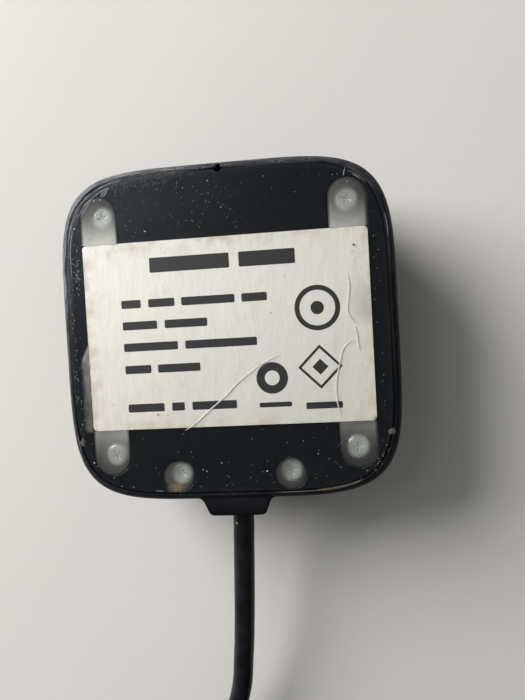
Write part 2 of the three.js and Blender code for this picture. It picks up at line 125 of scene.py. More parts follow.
def make_camera():
    data = bpy.data.cameras.new("camera")
    data.lens = 29.11
    data.sensor_width = 36
    data.clip_start = 0.002
    data.clip_end = 30
    camera = link(bpy.data.objects.new("camera", data))
    camera.location = Vector((10.778, 0.824, 77.795)) * MM
    camera.rotation_euler = [math.radians(angle) for angle in (-1.924, 5.938, -3.216)]
    bpy.context.scene.camera = camera


make_camera()

# ---- Node materials ----


class Value:
    """A number or colour made by a node; arithmetic with it adds more nodes."""

    def __init__(self, finish, socket):
        self.finish = finish
        self.socket = socket

    def math(self, operation, other=0.0, clamp=False):
        return self.finish.math(operation, self, other, clamp)

    def __add__(self, other):
        return self.math("ADD", other)

    def __sub__(self, other):
        return self.math("SUBTRACT", other)

    def __rsub__(self, other):
        return self.finish.math("SUBTRACT", other, self)

    def __mul__(self, other):
        return self.math("MULTIPLY", other)

    def larger(self, other, clamp=False):
        return self.math("MAXIMUM", other, clamp)

    def span(self, low, high, to_low=0.0, to_high=1.0):
        """The value carried from one range to another, and kept inside it."""
        numbers = dict(enumerate((self, low, high, to_low, to_high)))
        return self.finish.made(0, "ShaderNodeMapRange", numbers, clamp=True)


class Finish:
    """A node material in the making: one Principled shader and the textures that feed it."""

    def __init__(self, name, roughness=0.5, metallic=0.0, **sockets):
        self.material = bpy.data.materials.new(name)
        self.material.use_nodes = True
        self.tree = self.material.node_tree
        self.shader = self.tree.nodes["Principled BSDF"]
        self.set("Roughness", roughness)
        self.set("Metallic", metallic)
        for socket, value in sockets.items():
            self.set(socket.replace("_", " "), value)
        self.place = self.made("Object", "ShaderNodeTexCoord")

    def feed(self, socket, value):
        value = getattr(value, "socket", value)
        if isinstance(value, bpy.types.NodeSocket):
            self.tree.links.new(value, socket)
        elif socket.type == "RGBA":
            socket.default_value = (*value, 1)
        else:
            socket.default_value = value

    def set(self, name, value):
        self.feed(self.shader.inputs[name], value)

    def made(self, output, kind, inputs=None, **settings):
        """One output of a new node."""
        node = self.tree.nodes.new(kind)
        for name, value in settings.items():
            setattr(node, name, value)
        for name, value in (inputs or {}).items():
            self.feed(node.inputs[name], value)
        return Value(self, node.outputs[output])

    def scaled(self, stretch, place=None):
        """The coordinates multiplied by a factor along each axis."""
        inputs = {0: place or self.place, 1: stretch}
        return self.made("Vector", "ShaderNodeVectorMath", inputs, operation="MULTIPLY")

    def axis(self, name, place=None):
        return self.made(name, "ShaderNodeSeparateXYZ", {"Vector": place or self.place})

    def noise(self, size, detail=3.0, roughness=0.55, stretch=None, place=None):
        """Noise from 0 to 1 with features of a size in millimetres."""
        vector = self.scaled(stretch, place) if stretch else self.place
        inputs = {"Vector": vector, "Scale": 1 / (size * MM), "Detail": detail, "Roughness": roughness}
        return self.made("Fac", "ShaderNodeTexNoise", inputs)

    def cells(self, size, feature="F1"):
        inputs = {"Vector": self.place, "Scale": 1 / (size * MM)}
        return self.made("Distance", "ShaderNodeTexVoronoi", inputs, feature=feature)

    def math(self, operation, first, second, clamp=False):
        inputs = {0: first, 1: second}
        return self.made(0, "ShaderNodeMath", inputs, operation=operation, use_clamp=clamp)

    def mix(self, share, first, second):
        """Colour: first where share is 0, second where it is 1."""
        return self.made(2, "ShaderNodeMix", {0: share, 6: first, 7: second}, data_type="RGBA")

    def coat(self, colour, *layers):
        """The base colour: one colour with others laid over it, each by its share."""
        for share, over in layers:
            colour = self.mix(share, colour, over)
        self.set("Base Color", colour)

    def attribute(self, name):
        return self.made("Fac", "ShaderNodeAttribute", attribute_name=name)

    def bump(self, height, depth, under=None):
        """A bump of a depth in millimetres, on top of another bump if there is one."""
        inputs = {"Height": height, "Distance": depth * MM}
        if under is not None:
            inputs["Normal"] = under
        normal = self.made("Normal", "ShaderNodeBump", inputs)
        self.set("Normal", normal)
        return normal


def rim_scuffs(finish, low, high):
    """Streaks that run round the rim, with flecks, strongest where the rim is scuffed and carries its painted
    highlight.
    """
    inputs = {"X": finish.attribute("along"), "Y": finish.attribute("across"), "Z": 0.0}
    rim = finish.made(0, "ShaderNodeCombineXYZ", inputs)
    streaks = finish.noise(0.13, 4, 0.7, (0.10, 1.0, 1.0), rim).span(low, high)
    patches = finish.noise(1.6, 3, 0.6, (0.35, 1.0, 1.0), rim).span(0.38, 0.6)
    flecks = finish.noise(0.13, 3, 0.75).span(0.62, 0.74)
    return (streaks * patches).larger(flecks).math("MULTIPLY", finish.attribute("scuff_and_highlight"), True)


def scuffed_plastic(name, fine, broad, tone_span, tones, painted_grey, scratched, scuff_span, gloss, depths):
    """Black plastic of two tones, greyed and scratched where the rim is scuffed, and greyed as a painted
    highlight where the rim faces the light.
    """
    finish = Finish(name, Specular_IOR_Level=0.12)
    fine, broad = finish.noise(*fine), finish.noise(broad, 3)
    # Share greyed by scuffing and by a painted highlight where the rim faces the light.
    scuffed_and_lit_share = finish.attribute("scuff_and_highlight") * broad.span(0.3, 0.7, 0.45, 0.9)
    scuffs = rim_scuffs(finish, *scuff_span)
    second_tone = broad.span(*tone_span) if tone_span else broad
    finish.coat(tones[0], (second_tone, tones[1]), (scuffed_and_lit_share, painted_grey), (scuffs, scratched))
    finish.set("Roughness", fine.span(0.3, 0.7, *gloss))
    finish.bump(scuffs, depths[1], finish.bump(fine, depths[0]))
    return finish.material


def film_haze(finish):
    """Milkiness of the film: full over the wells, less where it lifts at the label's lower left edge."""
    place = finish.scaled((1 / MM,) * 3)
    right, up = finish.axis("X", place), finish.axis("Y", place) - BODY_CENTRE_Y
    aside = right.math("ABSOLUTE")
    nearest = up.larger(SCREW_BOTTOM_Y).math("MINIMUM", SCREW_TOP_Y)

    def inside(x, y, radius):
        """How far inside a round edge about a centre the place is."""
        across, along = aside - x, up - y
        return radius - (across * across + along * along).math("SQRT")

    long_well = inside(SCREW_X, nearest, STADIUM_RADIUS)
    round_well = inside(CABLE_SCREW_X, CABLE_SCREW_Y, ROUND_WELL_RADIUS)
    past_end = up.math("ABSOLUTE") - LABEL_DEPTH / 2
    off_label = (aside - LABEL_WIDTH / 2).larger(past_end).span(-0.03, 0.03)
    over_well = long_well.larger(round_well).span(-0.02, 0.3) * off_label
    past_left = right * -1 - LABEL_WIDTH / 2
    streaked = finish.noise(0.3, 3, stretch=(1.0, 0.25, 1.0)).span(0.35, 0.65, 0.6, 1.1)
    lifted = (past_left + finish.noise(1.6, 3)).span(1.05, 1.6, BUBBLE_HAZE, 0.0) * streaked
    lifted = lifted * (up + past_left * 1.9).span(-1.0, -0.5, 1.0, 0.0) * up.span(-8.5, -3.0, 0.5, 1.0)
    return over_well.larger(lifted * up.span(-11.1, -10.7) * past_left.span(-0.03, 0.03))


def cover_film():
    """Clear glossy film, milky where it spans a well, with painted light lightening the milky colour."""
    finish = Finish("cover_film", 0.34)
    painted_light, mottled, fine = finish.attribute("painted_light"), finish.noise(0.55, 4, 0.6), finish.noise(0.12, 3, 0.7)
    dirty = finish.attribute("grime").math("MULTIPLY", fine.span(0.40, 0.58), True)
    # Painted light: the milky colour is laid on as strongly as the painted light attribute says.
    finish.coat((0.085, 0.090, 0.090), (painted_light, (0.84, 0.83, 0.78)), (dirty, (0.36, 0.27, 0.16)))
    ripple = finish.bump(finish.noise(3.2, 2), 0.012)
    clear = finish.made(0, "ShaderNodeBsdfTransparent")
    gloss = {"Color": (0.52, 0.66, 0.78), "Roughness": 0.24, "Normal": ripple}
    sheen = finish.made(0, "ShaderNodeBsdfGlossy", gloss)
    facing = finish.made("Facing", "ShaderNodeLayerWeight", {"Blend": 0.5, "Normal": ripple})
    grazing = facing.math("POWER", 5.0) * 0.1
    wet = finish.made(0, "ShaderNodeMixShader", {0: grazing + 0.03, 1: clear, 2: sheen})
    dust = fine.span(0.6, 0.8) * mottled.span(0.5, 0.7)
    # The veil is thicker where the painted light is stronger.
    thickness = film_haze(finish) * painted_light.span(0.2, 0.8, 0.30, 0.60)
    veil = thickness * mottled.span(0.3, 0.7, 0.94, 1.06)
    cover = veil.larger(dust * 0.10).larger(dirty * 0.8, True)
    whole = finish.made(0, "ShaderNodeMixShader", {0: cover, 1: wet, 2: finish.shader.outputs[0]})
    finish.feed(finish.tree.nodes["Material Output"].inputs["Surface"], whole)
    return finish.material


def film_underside():
    """The film's lower face and rim: clear, with a little gloss."""
    finish = Finish("film_underside", 0.4)
    finish.coat((0.8, 0.82, 0.82))
    finish.set("Alpha", finish.noise(0.4, 3).span(0.3, 0.8, 0.0, 0.006))
    return finish.material


def label_paper():
    """Off-white label stock, yellowed at its edges, stained and rippled, with painted light: lighter on the
    left, darker towards the right and the bottom, and a grey patch of painted shade beside the right crease.
    """
    finish = Finish("label_paper")
    broad, blotch, fibre = (finish.noise(*noise, 0.6) for noise in ((7.0, 4), (1.8, 4), (0.14, 3)))
    side, height = finish.axis("X"), finish.axis("Y")
    # Painted light: share by which the paper darkens from left to right, as the light falls off across it.
    painted_falloff = side.span(-0.5 * LABEL_WIDTH * MM, 0.4 * LABEL_WIDTH * MM)
    yellowed = finish.attribute("edge").math("POWER", 2.5) * blotch.span(0.4, 0.62, 0.0, 0.8)
    # Where the grey patch of painted shade beside the right crease lies.
    painted_grey = side.span(13.9 * MM, 15.4 * MM) * height.span(1.0 * MM, 2.4 * MM)
    finish.coat(
        finish.mix(painted_falloff, (0.98, 0.95, 0.87), (0.77, 0.755, 0.69)),
        (broad.span(0.35, 0.65), finish.mix(painted_falloff, (0.94, 0.92, 0.86), (0.74, 0.74, 0.70))),
        # Painted shade: darker towards the bottom.
        (height.span(-9 * MM, 7 * MM, 0.34, 0.0), (0.50, 0.475, 0.43)),
        (yellowed, (0.60, 0.53, 0.39)),
        # Painted shade: the grey patch beside the right crease.
        (painted_grey * height.span(4.2 * MM, 7.5 * MM, 0.5, 0.0), (0.36, 0.37, 0.38)),
        (blotch.span(0.56, 0.8, 0.0, 0.35), (0.62, 0.56, 0.46)),
        (fibre.span(0.3, 0.7, 0.0, 0.06), (0.5, 0.49, 0.45)),
    )
    finish.set("Roughness", blotch.span(0.3, 0.7, 0.42, 0.58))
    ripples = finish.noise(1.1, 3, 0.6, stretch=(1.0, 0.35, 1.0))
    finish.bump(blotch, 0.02, finish.bump(ripples, 0.05, finish.bump(fibre, 0.003)))
    return finish.material


def print_ink():
    finish = Finish("print_ink")
    fine = finish.noise(0.1, 3)
    finish.coat((0.012, 0.012, 0.014), (fine.span(0.35, 0.75), (0.034, 0.034, 0.037)))
    finish.bump(fine, 0.002)
    return finish.material


def soft_black(name, colour, roughness, grain=0.12, depth=0.004, specular=0.32):
    """Black rubber or cable jacket: satin, slightly mottled and dusty."""
    finish = Finish(name, Specular_IOR_Level=specular)
    fine, broad = finish.noise(grain, 4), finish.noise(grain * 14, 3)
    pale = tuple(1.7 * channel + 0.006 for channel in colour)
    dust = fine.span(0.6, 0.78).math("MULTIPLY", broad.span(0.4, 0.7), True)
    finish.coat(colour, (broad.span(0.35, 0.7), pale), (dust * 0.35, (0.16, 0.155, 0.145)))
    finish.set("Roughness", fine.span(0.3, 0.7, roughness - 0.07, roughness + 0.09))
    finish.bump(fine, depth)
    return finish.material


def metal(name, colour, roughness, tarnish, metallic=1.0):
    """Plated or bare metal with tarnish in patches and fine turning or handling marks."""
    finish = Finish(name, metallic=metallic)
    broad, fine = finish.noise(1.9, 4, 0.6), finish.noise(0.12, 4, 0.65)
    patches, marks = broad.span(0.42, 0.72, 0.0, 0.75), fine.span(0.35, 0.7, 0.0, 0.3)
    finish.coat(colour, (patches, tarnish), (marks, tarnish))
    finish.set("Roughness", fine.span(0.3, 0.7, roughness - 0.08, roughness + 0.14))
    finish.bump(fine, 0.002)
    return finish.material


def mineral(name, colour, shade, roughness, grain=0.2):
    """Ceramic, plastic or resin of one tone with a fine grain."""
    finish = Finish(name)
    fine, broad = finish.noise(grain, 4), finish.noise(grain * 10, 3)
    finish.coat(colour, (broad.span(0.35, 0.65), shade), (fine.span(0.45, 0.75, 0.0, 0.5), shade))
    finish.set("Roughness", fine.span(0.3, 0.7, roughness - 0.06, roughness + 0.08))
    finish.bump(fine, 0.004)
    return finish.material


def circuit_board():
    """Green solder mask over fine copper tracks, with tinned pads."""
    finish = Finish("circuit_board", 0.35)
    pads = finish.cells(1.3).span(0.14, 0.17, 1.0, 0.0)
    tracks = finish.cells(1.7, "DISTANCE_TO_EDGE").span(0.03, 0.06, 1.0, 0.0)
    finish.coat((0.018, 0.11, 0.05), (tracks, (0.05, 0.22, 0.10)), (pads, (0.6, 0.6, 0.57)))
    finish.set("Metallic", pads)
    finish.bump(tracks + pads, 0.02)
    return finish.material


def hook_strap():
    """Black woven strap: ribs across and a fuzz of small loops."""
    finish = Finish("hook_strap", 0.85)
    inputs = {"Vector": finish.place, "Scale": 1.4 / MM / 6.2, "Distortion": 1.2, "Detail": 2.0}
    ribs = finish.made("Fac", "ShaderNodeTexWave", inputs, wave_type="BANDS", bands_direction="Y")
    weave = ribs * finish.cells(0.3).span(0.0, 0.7, 1.0, 0.3)
    finish.coat((0.010, 0.010, 0.012), (weave, (0.045, 0.045, 0.050)))
    finish.bump(weave, 0.08)
    return finish.material


def faint_mark(name, colour, cover):
    """A thin mark on a surface, broken up by fine noise; cover is how much of the surface it hides."""
    finish = Finish(name)
    fine = finish.noise(0.09, 3, 0.7)
    finish.coat(tuple(0.6 * channel for channel in colour), (fine.span(0.35, 0.65), colour))
    finish.set("Alpha", fine.span(0.3, 0.6, 0.4 * cover, cover))
    return finish.material


def dried_dirt():
    """Dull brown dirt, crumbly and mixed with paler grains."""
    finish = Finish("dried_dirt", 0.85)
    fine, broad = finish.noise(0.12, 4, 0.65), finish.noise(0.7, 3).span(0.35, 0.65)
    grains = (fine.span(0.5, 0.75), (0.18, 0.155, 0.125))
    finish.coat((0.066, 0.047, 0.031), (broad, (0.100, 0.085, 0.065)), grains)
    finish.bump(fine, 0.03)
    return finish.material


def floor_surface():
    """Pale matt table top with barely visible mottling."""
    finish = Finish("table_top", 0.85, Specular_IOR_Level=0.15)
    fine, broad = finish.noise(1.2, 4), finish.noise(40, 3).span(0.3, 0.7)
    mottling = (fine.span(0.4, 0.8, 0.0, 0.12), (0.64, 0.62, 0.60))
    finish.coat((0.715, 0.705, 0.685), (broad, (0.70, 0.685, 0.67)), mottling)
    finish.bump(fine, 0.01)
    return finish.material


FINISHES = {
    "housing": scuffed_plastic(
        "housing_plastic", (0.11, 4), 2.6, (0.3, 0.7), ((0.0035, 0.0045, 0.0065), (0.007, 0.008, 0.011)),
        (0.052, 0.057, 0.066), (0.19, 0.198, 0.212), (0.47, 0.62), (0.40, 0.54), (0.006, 0.012),
    ),
    "plate": scuffed_plastic(
        "plate_plastic", (0.2, 3), 5.0, None, ((0.0022, 0.0032, 0.0045), (0.0042, 0.0057, 0.0075)),
        (0.030, 0.034, 0.042), (0.16, 0.17, 0.19), (0.50, 0.64), (0.34, 0.5), (0.002, 0.01),
    ),
    "film": cover_film(),
    "under": film_underside(),
    "label": label_paper(),
    "ink": print_ink(),
    "rubber": soft_black("rubber", (0.006, 0.0065, 0.008), 0.62),
    "jacket": soft_black("lead_jacket", (0.0036, 0.0048, 0.0068), 0.38, 0.16, 0.006, 0.19),
    "nickel": metal("nickel_plate", (0.66, 0.64, 0.60), 0.24, (0.44, 0.41, 0.36)),
    "magnet": mineral("magnet_coat", (0.010, 0.010, 0.011), (0.018, 0.018, 0.019), 0.6, 0.1),
    "zinc": metal("zinc_plate", (0.88, 0.97, 0.89), 0.34, (0.50, 0.56, 0.48), 0.35),
    "tinned": metal("tinned_plate", (0.62, 0.62, 0.60), 0.32, (0.42, 0.41, 0.39)),
    "silver": metal("fired_silver", (0.78, 0.76, 0.72), 0.38, (0.55, 0.52, 0.47)),
    "gold": metal("gold_plate", (0.80, 0.56, 0.22), 0.22, (0.62, 0.42, 0.18)),
    "board": circuit_board(),
    "ceramic": mineral("patch_ceramic_body", (0.62, 0.52, 0.38), (0.52, 0.43, 0.31), 0.6),
    "tape": mineral("tape_backing", (0.76, 0.74, 0.66), (0.66, 0.63, 0.55), 0.75),
    "chip": mineral("chip_resin", (0.018, 0.018, 0.020), (0.030, 0.030, 0.032), 0.5, 0.08),
    "component": mineral("component_body", (0.28, 0.20, 0.13), (0.20, 0.14, 0.09), 0.5, 0.1),
    "polyethylene": mineral("polyethylene_core", (0.80, 0.80, 0.77), (0.72, 0.72, 0.69), 0.45),
    "fluoropolymer": mineral("fluoropolymer", (0.82, 0.81, 0.78), (0.74, 0.73, 0.70), 0.42, 0.3),
    "silicone": mineral("silicone_seal", (0.36, 0.06, 0.035), (0.27, 0.045, 0.03), 0.5, 0.15),
    "tie": hook_strap(),
    "crease": faint_mark("film_crease", (0.93, 0.92, 0.88), 0.62),
    "scratch": faint_mark("fine_scratch", (0.44, 0.46, 0.51), 0.75),
    "smear": faint_mark("pale_smear", (0.24, 0.26, 0.33), 0.42),
    "dust": faint_mark("pale_dust", (0.78, 0.78, 0.75), 0.95),
    "faint_dust": faint_mark("faint_dust", (0.42, 0.44, 0.44), 0.6),
    # Grey seam fill: partly dust, partly painted light.
    "seam": faint_mark("seam_painted_light", (0.055, 0.060, 0.068), 0.75),
    "seam_shade": faint_mark("seam_shade", (0.012, 0.013, 0.015), 0.9),
    "speck": faint_mark("dark_speck", (0.05, 0.04, 0.03), 0.9),
    "grain": faint_mark("dirt_grains", (0.34, 0.30, 0.25), 0.7),
    "dirt": dried_dirt(),
}

# ---- Mesh helpers: a part is its vertices, in millimetres, and its faces ----


def closed_mesh(name, vertices, faces):
    """A mesh with its faces turned outwards."""
    mesh = bpy.data.meshes.new(name)
    mesh.from_pydata([Vector(vertex) * MM for vertex in vertices], [], faces)
    shape = bmesh.new()
    shape.from_mesh(mesh)
    bmesh.ops.remove_doubles(shape, verts=shape.verts, dist=1e-8)
    bmesh.ops.recalc_face_normals(shape, faces=shape.faces)
    shape.to_mesh(mesh)
    shape.free()
    return mesh


def smooth(obj, sharp):
    """Smooth shading, with edges sharp where they fold by more than an angle in degrees."""
    obj.data.polygons.foreach_set("use_smooth", [True] * len(obj.data.polygons))
    obj.data.set_sharp_from_angle(angle=math.radians(sharp))


def piece(name, part, finish, node=None, body="root", sharp=35):
    """An object on one of the bodies, which may stand for a CAD node."""
    obj = link(bpy.data.objects.new(name, closed_mesh(name, *part)))
    obj.data.materials.append(FINISHES[finish])
    smooth(obj, sharp)
    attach(obj, body)
    if node:
        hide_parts(node)
    return obj


def loft(rings, around=False):
    """A part through rings of equally many points, capped or joined last to first."""
    count, rows = len(rings[0]), len(rings)
    faces = []
    for row in range(rows if around else rows - 1):
        here, there = row * count, (row + 1) % rows * count
        for column in range(count):
            beside = (column + 1) % count
            faces.append((here + column, here + beside, there + beside, there + column))
    if not around:
        faces += [tuple(range(count)), tuple(range((rows - 1) * count, rows * count))]
    return [point for ring in rings for point in ring], faces


def joined(parts):
    """Several parts as one."""
    vertices, faces = [], []
    for part_vertices, part_faces in parts:
        start = len(vertices)
        vertices.extend(part_vertices)
        faces.extend(tuple(start + index for index in face) for face in part_faces)
    return vertices, faces


def moved(part, matrix):
    vertices, faces = part
    return [tuple(matrix @ Vector(vertex)) for vertex in vertices], faces


def circle(radius, count):
    angles = [2 * math.pi * index / count for index in range(count)]
    return [(radius * math.cos(a), radius * math.sin(a)) for a in angles]


def arc(x, y, radius, start, sweep, parts):
    """Points round a centre, from a direction in degrees through a sweep."""
    angles = [math.radians(start + sweep * index / parts) for index in range(parts + 1)]
    return [(x + radius * math.cos(a), y + radius * math.sin(a)) for a in angles]


def quarter_turn(parts):
    """Sine and cosine at even steps, from just past 0 to 90 degrees."""
    turns = [math.pi / 2 * part / parts for part in range(1, parts + 1)]
    return [(math.sin(turn), math.cos(turn)) for turn in turns]


def slab(outline, low, high):
    return loft([[(x, y, z) for x, y in outline] for z in (low, high)])


def block(x0, x1, y0, y1, low, high):
    return slab([(x0, y0), (x1, y0), (x1, y1), (x0, y1)], low, high)


def lathe(profile, segments=72, around=False, shape=None):
    """A profile of (along, radius) pairs turned round the Z axis; shape may change a radius at an angle."""
    rings = []
    for along, radius in profile:
        ring = []
        for index in range(segments):
            angle = 2 * math.pi * index / segments
            across = shape(angle, along, radius) if shape else radius
            ring.append((across * math.cos(angle), across * math.sin(angle), along))
        rings.append(ring)
    return loft(rings, around)


def lathe_on_lead(profile, segments, around=False):
    """A profile of (y, radius) pairs turned round the lead's axis at the housing."""
    rings = [[(x, y, LEAD_Z + z) for x, z in circle(radius, segments)] for y, radius in profile]
    return loft(rings, around)


def carve(obj, cutters, sharp):
    """Cuts each closed part out of the object in turn."""
    tools = []
    for cutter in cutters:
        tools.append(link(bpy.data.objects.new("cutter", closed_mesh("cutter", *cutter))))
        modifier = obj.modifiers.new("carve", "BOOLEAN")
        modifier.operation = "DIFFERENCE"
        modifier.solver = "EXACT"
        modifier.object = tools[-1]
    settled = obj.evaluated_get(bpy.context.evaluated_depsgraph_get())
    carved = bpy.data.meshes.new_from_object(settled)
    obj.modifiers.clear()
    obj.data = carved
    for tool in tools:
        bpy.data.objects.remove(tool)
    smooth(obj, sharp)


def paint(obj, name, value_at):
    """Stores a value worked out from each vertex's place, in millimetres, as an attribute."""
    layer = obj.data.attributes.new(name, "FLOAT", "POINT")
    for vertex, item in zip(obj.data.vertices, layer.data):
        item.value = value_at(*(vertex.co / MM))


def step(value, low, high):
    """0 below low, 1 above high and smooth between."""
    share = min(1.0, max(0.0, (value - low) / (high - low)))
    return share * share * (3 - 2 * share)


def read_off(line, place, beyond):
    """The second number of a line of pairs, where the first is at a place."""
    for (near, first), (far, second) in zip(line, line[1:]):
        if place <= far:
            return first + (second - first) * (place - near) / (far - near)
    return beyond


def smooth_line(points, per_span):
    """A Catmull-Rom line through points."""
    line = []
    padded = [Vector(point) for point in (points[0], *points, points[-1])]
    for before, start, end, after in zip(padded, padded[1:], padded[2:], padded[3:]):
        for part in range(per_span):
            t = part / per_span
            line.append(0.5 * (
                2 * start + (end - before) * t + (2 * before - 5 * start + 4 * end - after) * t**2
                + (3 * start - before - 3 * end + after) * t**3
            ))
    return [*line, padded[-1]]


# ---- The lead: one cord from the boss through its coil to the plug ----

RUN_TO_COIL = [
    (0, EXIT_Y, 9), (0, -22.3, 9), (-0.1, -24, 8.95), (-0.3, -27.5, 8.65), (-0.55, -31.2, 8.15),
    (-0.85, -35, 7.5), (-1.4, -40.3, 6.35), (-2.4, -46.6, 4.95), (-4.2, -51, 3.95), (-7.2, -55.2, 3.1),
    (-10.8, -60.3, 2.35),
]
RUN_TO_PLUG = [
    (-18.9, -85.5, 9.9), (-18.9, -91.8, 9.2), (-19.4, -96, 8.2), (-19.9, -101, 5.6), (-19.3, -105.6, 3.2),
    (-17.4, -109.8, 2.4), (-14.4, -113, 3.4), (-11, -114.7, 5.8), (-6.8, -115, 7.3), (-3.6, -115, 7.3),
]
COIL_START = math.radians(144.9)
COIL_END = math.radians(180)
CLIMB = math.radians(60)
POINTS_PER_TURN = 16
HALF_BUNDLE = TURNS_PER_LAYER * TURN_PITCH / 2


def coil_points():
    """The coil's turns: layers wound out to in and in to out by turns, with a climb between them."""
    ends = (COIL_MEAN_RADIUS + HALF_BUNDLE, COIL_MEAN_RADIUS - HALF_BUNDLE)
    whole = 2 * math.pi * TURNS_PER_LAYER * COIL_LAYERS + COIL_END - COIL_START
    layer_angle = (whole - (COIL_LAYERS - 1) * CLIMB) / COIL_LAYERS
    count = round(whole / (2 * math.pi) * POINTS_PER_TURN)
    points = []
    for index in range(count + 1):
        turned = whole * index / count
        layer = min(COIL_LAYERS - 1, int(turned // (layer_angle + CLIMB)))
        within = turned - layer * (layer_angle + CLIMB)
        start, end = ends if layer % 2 == 0 else ends[::-1]
        radius = start + (end - start) * min(1.0, within / layer_angle) + 0.3 * math.sin(2 * turned)
        climbed = layer + step(within, layer_angle, layer_angle + CLIMB)
        points.append((
            COIL_CENTRE[0] + radius * math.cos(COIL_START + turned),
            COIL_CENTRE[1] + radius * math.sin(COIL_START + turned),
            COIL_LIFT + LEAD_DIAMETER / 2 + TURN_PITCH * climbed,
        ))
    return points


def make_lead():
    points = [*RUN_TO_COIL, *coil_points(), *RUN_TO_PLUG]
    curve = bpy.data.curves.new("lead", "CURVE")
    curve.dimensions = "3D"
    curve.bevel_depth = LEAD_DIAMETER / 2 * MM
    curve.bevel_resolution = 5
    curve.resolution_u = 5
    curve.use_fill_caps = True
    spline = curve.splines.new("BEZIER")
    spline.bezier_points.add(len(points) - 1)
    for knot, point in zip(spline.bezier_points, points):
        knot.co = Vector(point) * MM
        knot.handle_left_type = "AUTO"
        knot.handle_right_type = "AUTO"
    curve.materials.append(FINISHES["jacket"])
    lead = link(bpy.data.objects.new("lead", curve))
    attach(lead, "root")
    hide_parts("lead_run", "lead_coil", "lead_end")
    return lead


lead = make_lead()


def make_coil_tie():
    """A strap round the bundle of turns, its free end laid over itself."""
    corner, slack = 2.4, 0.52
    half_width = HALF_BUNDLE + LEAD_DIAMETER / 2 + slack - corner
    left, right = (COIL_CENTRE[0] + COIL_MEAN_RADIUS + side * half_width for side in (-1, 1))
    low, high = 0.25 + corner, COIL_LIFT + COIL_LAYERS * TURN_PITCH + 0.48 - corner

    def outline(grow):
        """The strap's path round the bundle, in the plane across it."""
        corners = [(right, low, -90), (right, high, 0), (left, high, 90), (left, low, 180)]
        return [point for x, z, start in corners for point in arc(x, z, corner + grow, start, 90, 8)]

    def band(inside, outside, half, closed):
        edge = half - 0.12
        section = [(0, -edge), (0, edge), (0.25, half), (0.75, half)]
        section += [(1, edge), (1, -edge), (0.75, -half), (0.25, -half)]
        return loft([
            [(xi + part * (xo - xi), COIL_CENTRE[1] + y, zi + part * (zo - zi)) for part, y in section]
            for (xi, zi), (xo, zo) in zip(inside, outside)
        ], closed)

    loop = band(outline(-0.2), outline(0.2), 1.6, True)
    tab = band(outline(0.22)[14:24], outline(0.52)[14:24], 1.5, False)
    return piece("coil_strap", joined([loop, tab]), "tie", "coil_tie", sharp=50)


coil_strap = make_coil_tie()

# ---- Plug: turned pieces on an axis along X ----

PLUG_AXIS = Matrix.Translation((PLUG_REAR_X, PLUG_Y, PLUG_Z)) @ Matrix.Rotation(math.pi / 2, 4, "Y")


def spun(degrees):
    return Matrix.Rotation(math.radians(degrees), 4, "Z")


def plug_piece(name, node, profile, finish, body="root", segments=72, around=True, sharp=30, shape=None):
    part = moved(lathe(profile, segments, around, shape), PLUG_AXIS)
    return piece(name, part, finish, node, body, sharp=sharp)


def make_boot():
    """Tapered strain relief with rounded ribs."""
    outside = []
    length, steps, ribs = 10, 60, 5
    first_rib, last_rib = 0.8, 8.2
    for index in range(steps + 1):
        s = length * index / steps
        radius = 1.85 + 1.3 * min(1.0, s / 9)
        if first_rib < s < last_rib:
            phase = (s - first_rib) / (last_rib - first_rib) * ribs
            radius -= 0.32 * step(abs(phase % 1 - 0.5), 0.28, 0.42)
        outside.append((s, radius - max(0.0, 0.3 - s)))
    inside = [(10, 2.4), (4.6, 2.4), (4.6, 1.36), (0, 1.36)]
    return plug_piece("boot", "plug_boot", [*outside, *inside], "rubber", sharp=40)


def make_ferrule():
    """Crimped sleeve, pressed to a rounded hexagon where it shows."""
    profile = [(5, 1.55), (5, 2.3), (10.2, 2.3), (10.6, 2.3), (10.8, 2.27), (13.0, 2.27)]
    profile += [(13.2, 2.3), (13.4, 2.3), (13.4, 1.55)]

    def pressed(angle, along, radius):
        shown = radius > 2 and 10.7 < along < 13.1
        return radius - 0.13 * abs(math.sin(3 * angle)) if shown else radius

    return plug_piece("ferrule", "crimp_ferrule", profile, "nickel", segments=96, sharp=35, shape=pressed)


def make_plug_body():
    profile = [
        (9.6, 0.9), (9.6, 1.4), (13.6, 1.4), (13.6, 4.25), (13.75, 4.4), (14.95, 4.4), (15.1, 4.25),
        (15.1, 3.7), (NUT_REAR, 3.7), (NUT_REAR, 4.1), (16, 4.2), (19.2, 4.2), (19.2, 4.75),
        (19.3, 4.85), (20.1, 4.85), (20.2, 4.75), (20.2, 2.92), (15, 2.92), (15, 0.9),
    ]
    return plug_piece("connector_body", "plug_body", profile, "nickel")


def make_contact():
    """Slit sleeve that grips inside the jack, its fingers slightly pinched at the mouth."""
    profile = [(20.25, 3.5), (20.25, 4.05), (27.4, 4.05), (28.1, 3.97), (28.4, 3.84), (28.4, 3.62)]
    profile.append((28.1, 3.5))
    sleeve = plug_piece("contact_sleeve", "plug_outer_contact", profile, "nickel", segments=96)
    slit = block(-5.0, 5.0, -0.2, 0.2, 22.6, 30)
    carve(sleeve, [moved(slit, PLUG_AXIS @ spun(turn)) for turn in (0, 90)], 30)
    return sleeve


def make_insulator():
    profile = [(15.05, 0.74), (15.05, 2.85), (20.25, 2.85), (20.25, 3.4), (21.9, 3.4), (22, 3.3), (22, 0.74)]
    return plug_piece("connector_insulator", "plug_insulator", profile, "fluoropolymer")


def make_pin():
    profile = [(14.2, 0), (14.2, 0.66), (26.5, 0.66), (26.8, 0.62), (27.2, 0.48), (27.5, 0.33)]
    profile += [(27.65, 0.16), (27.7, 0)]
    return plug_piece("centre_pin", "plug_pin", profile, "gold", segments=48, around=False)


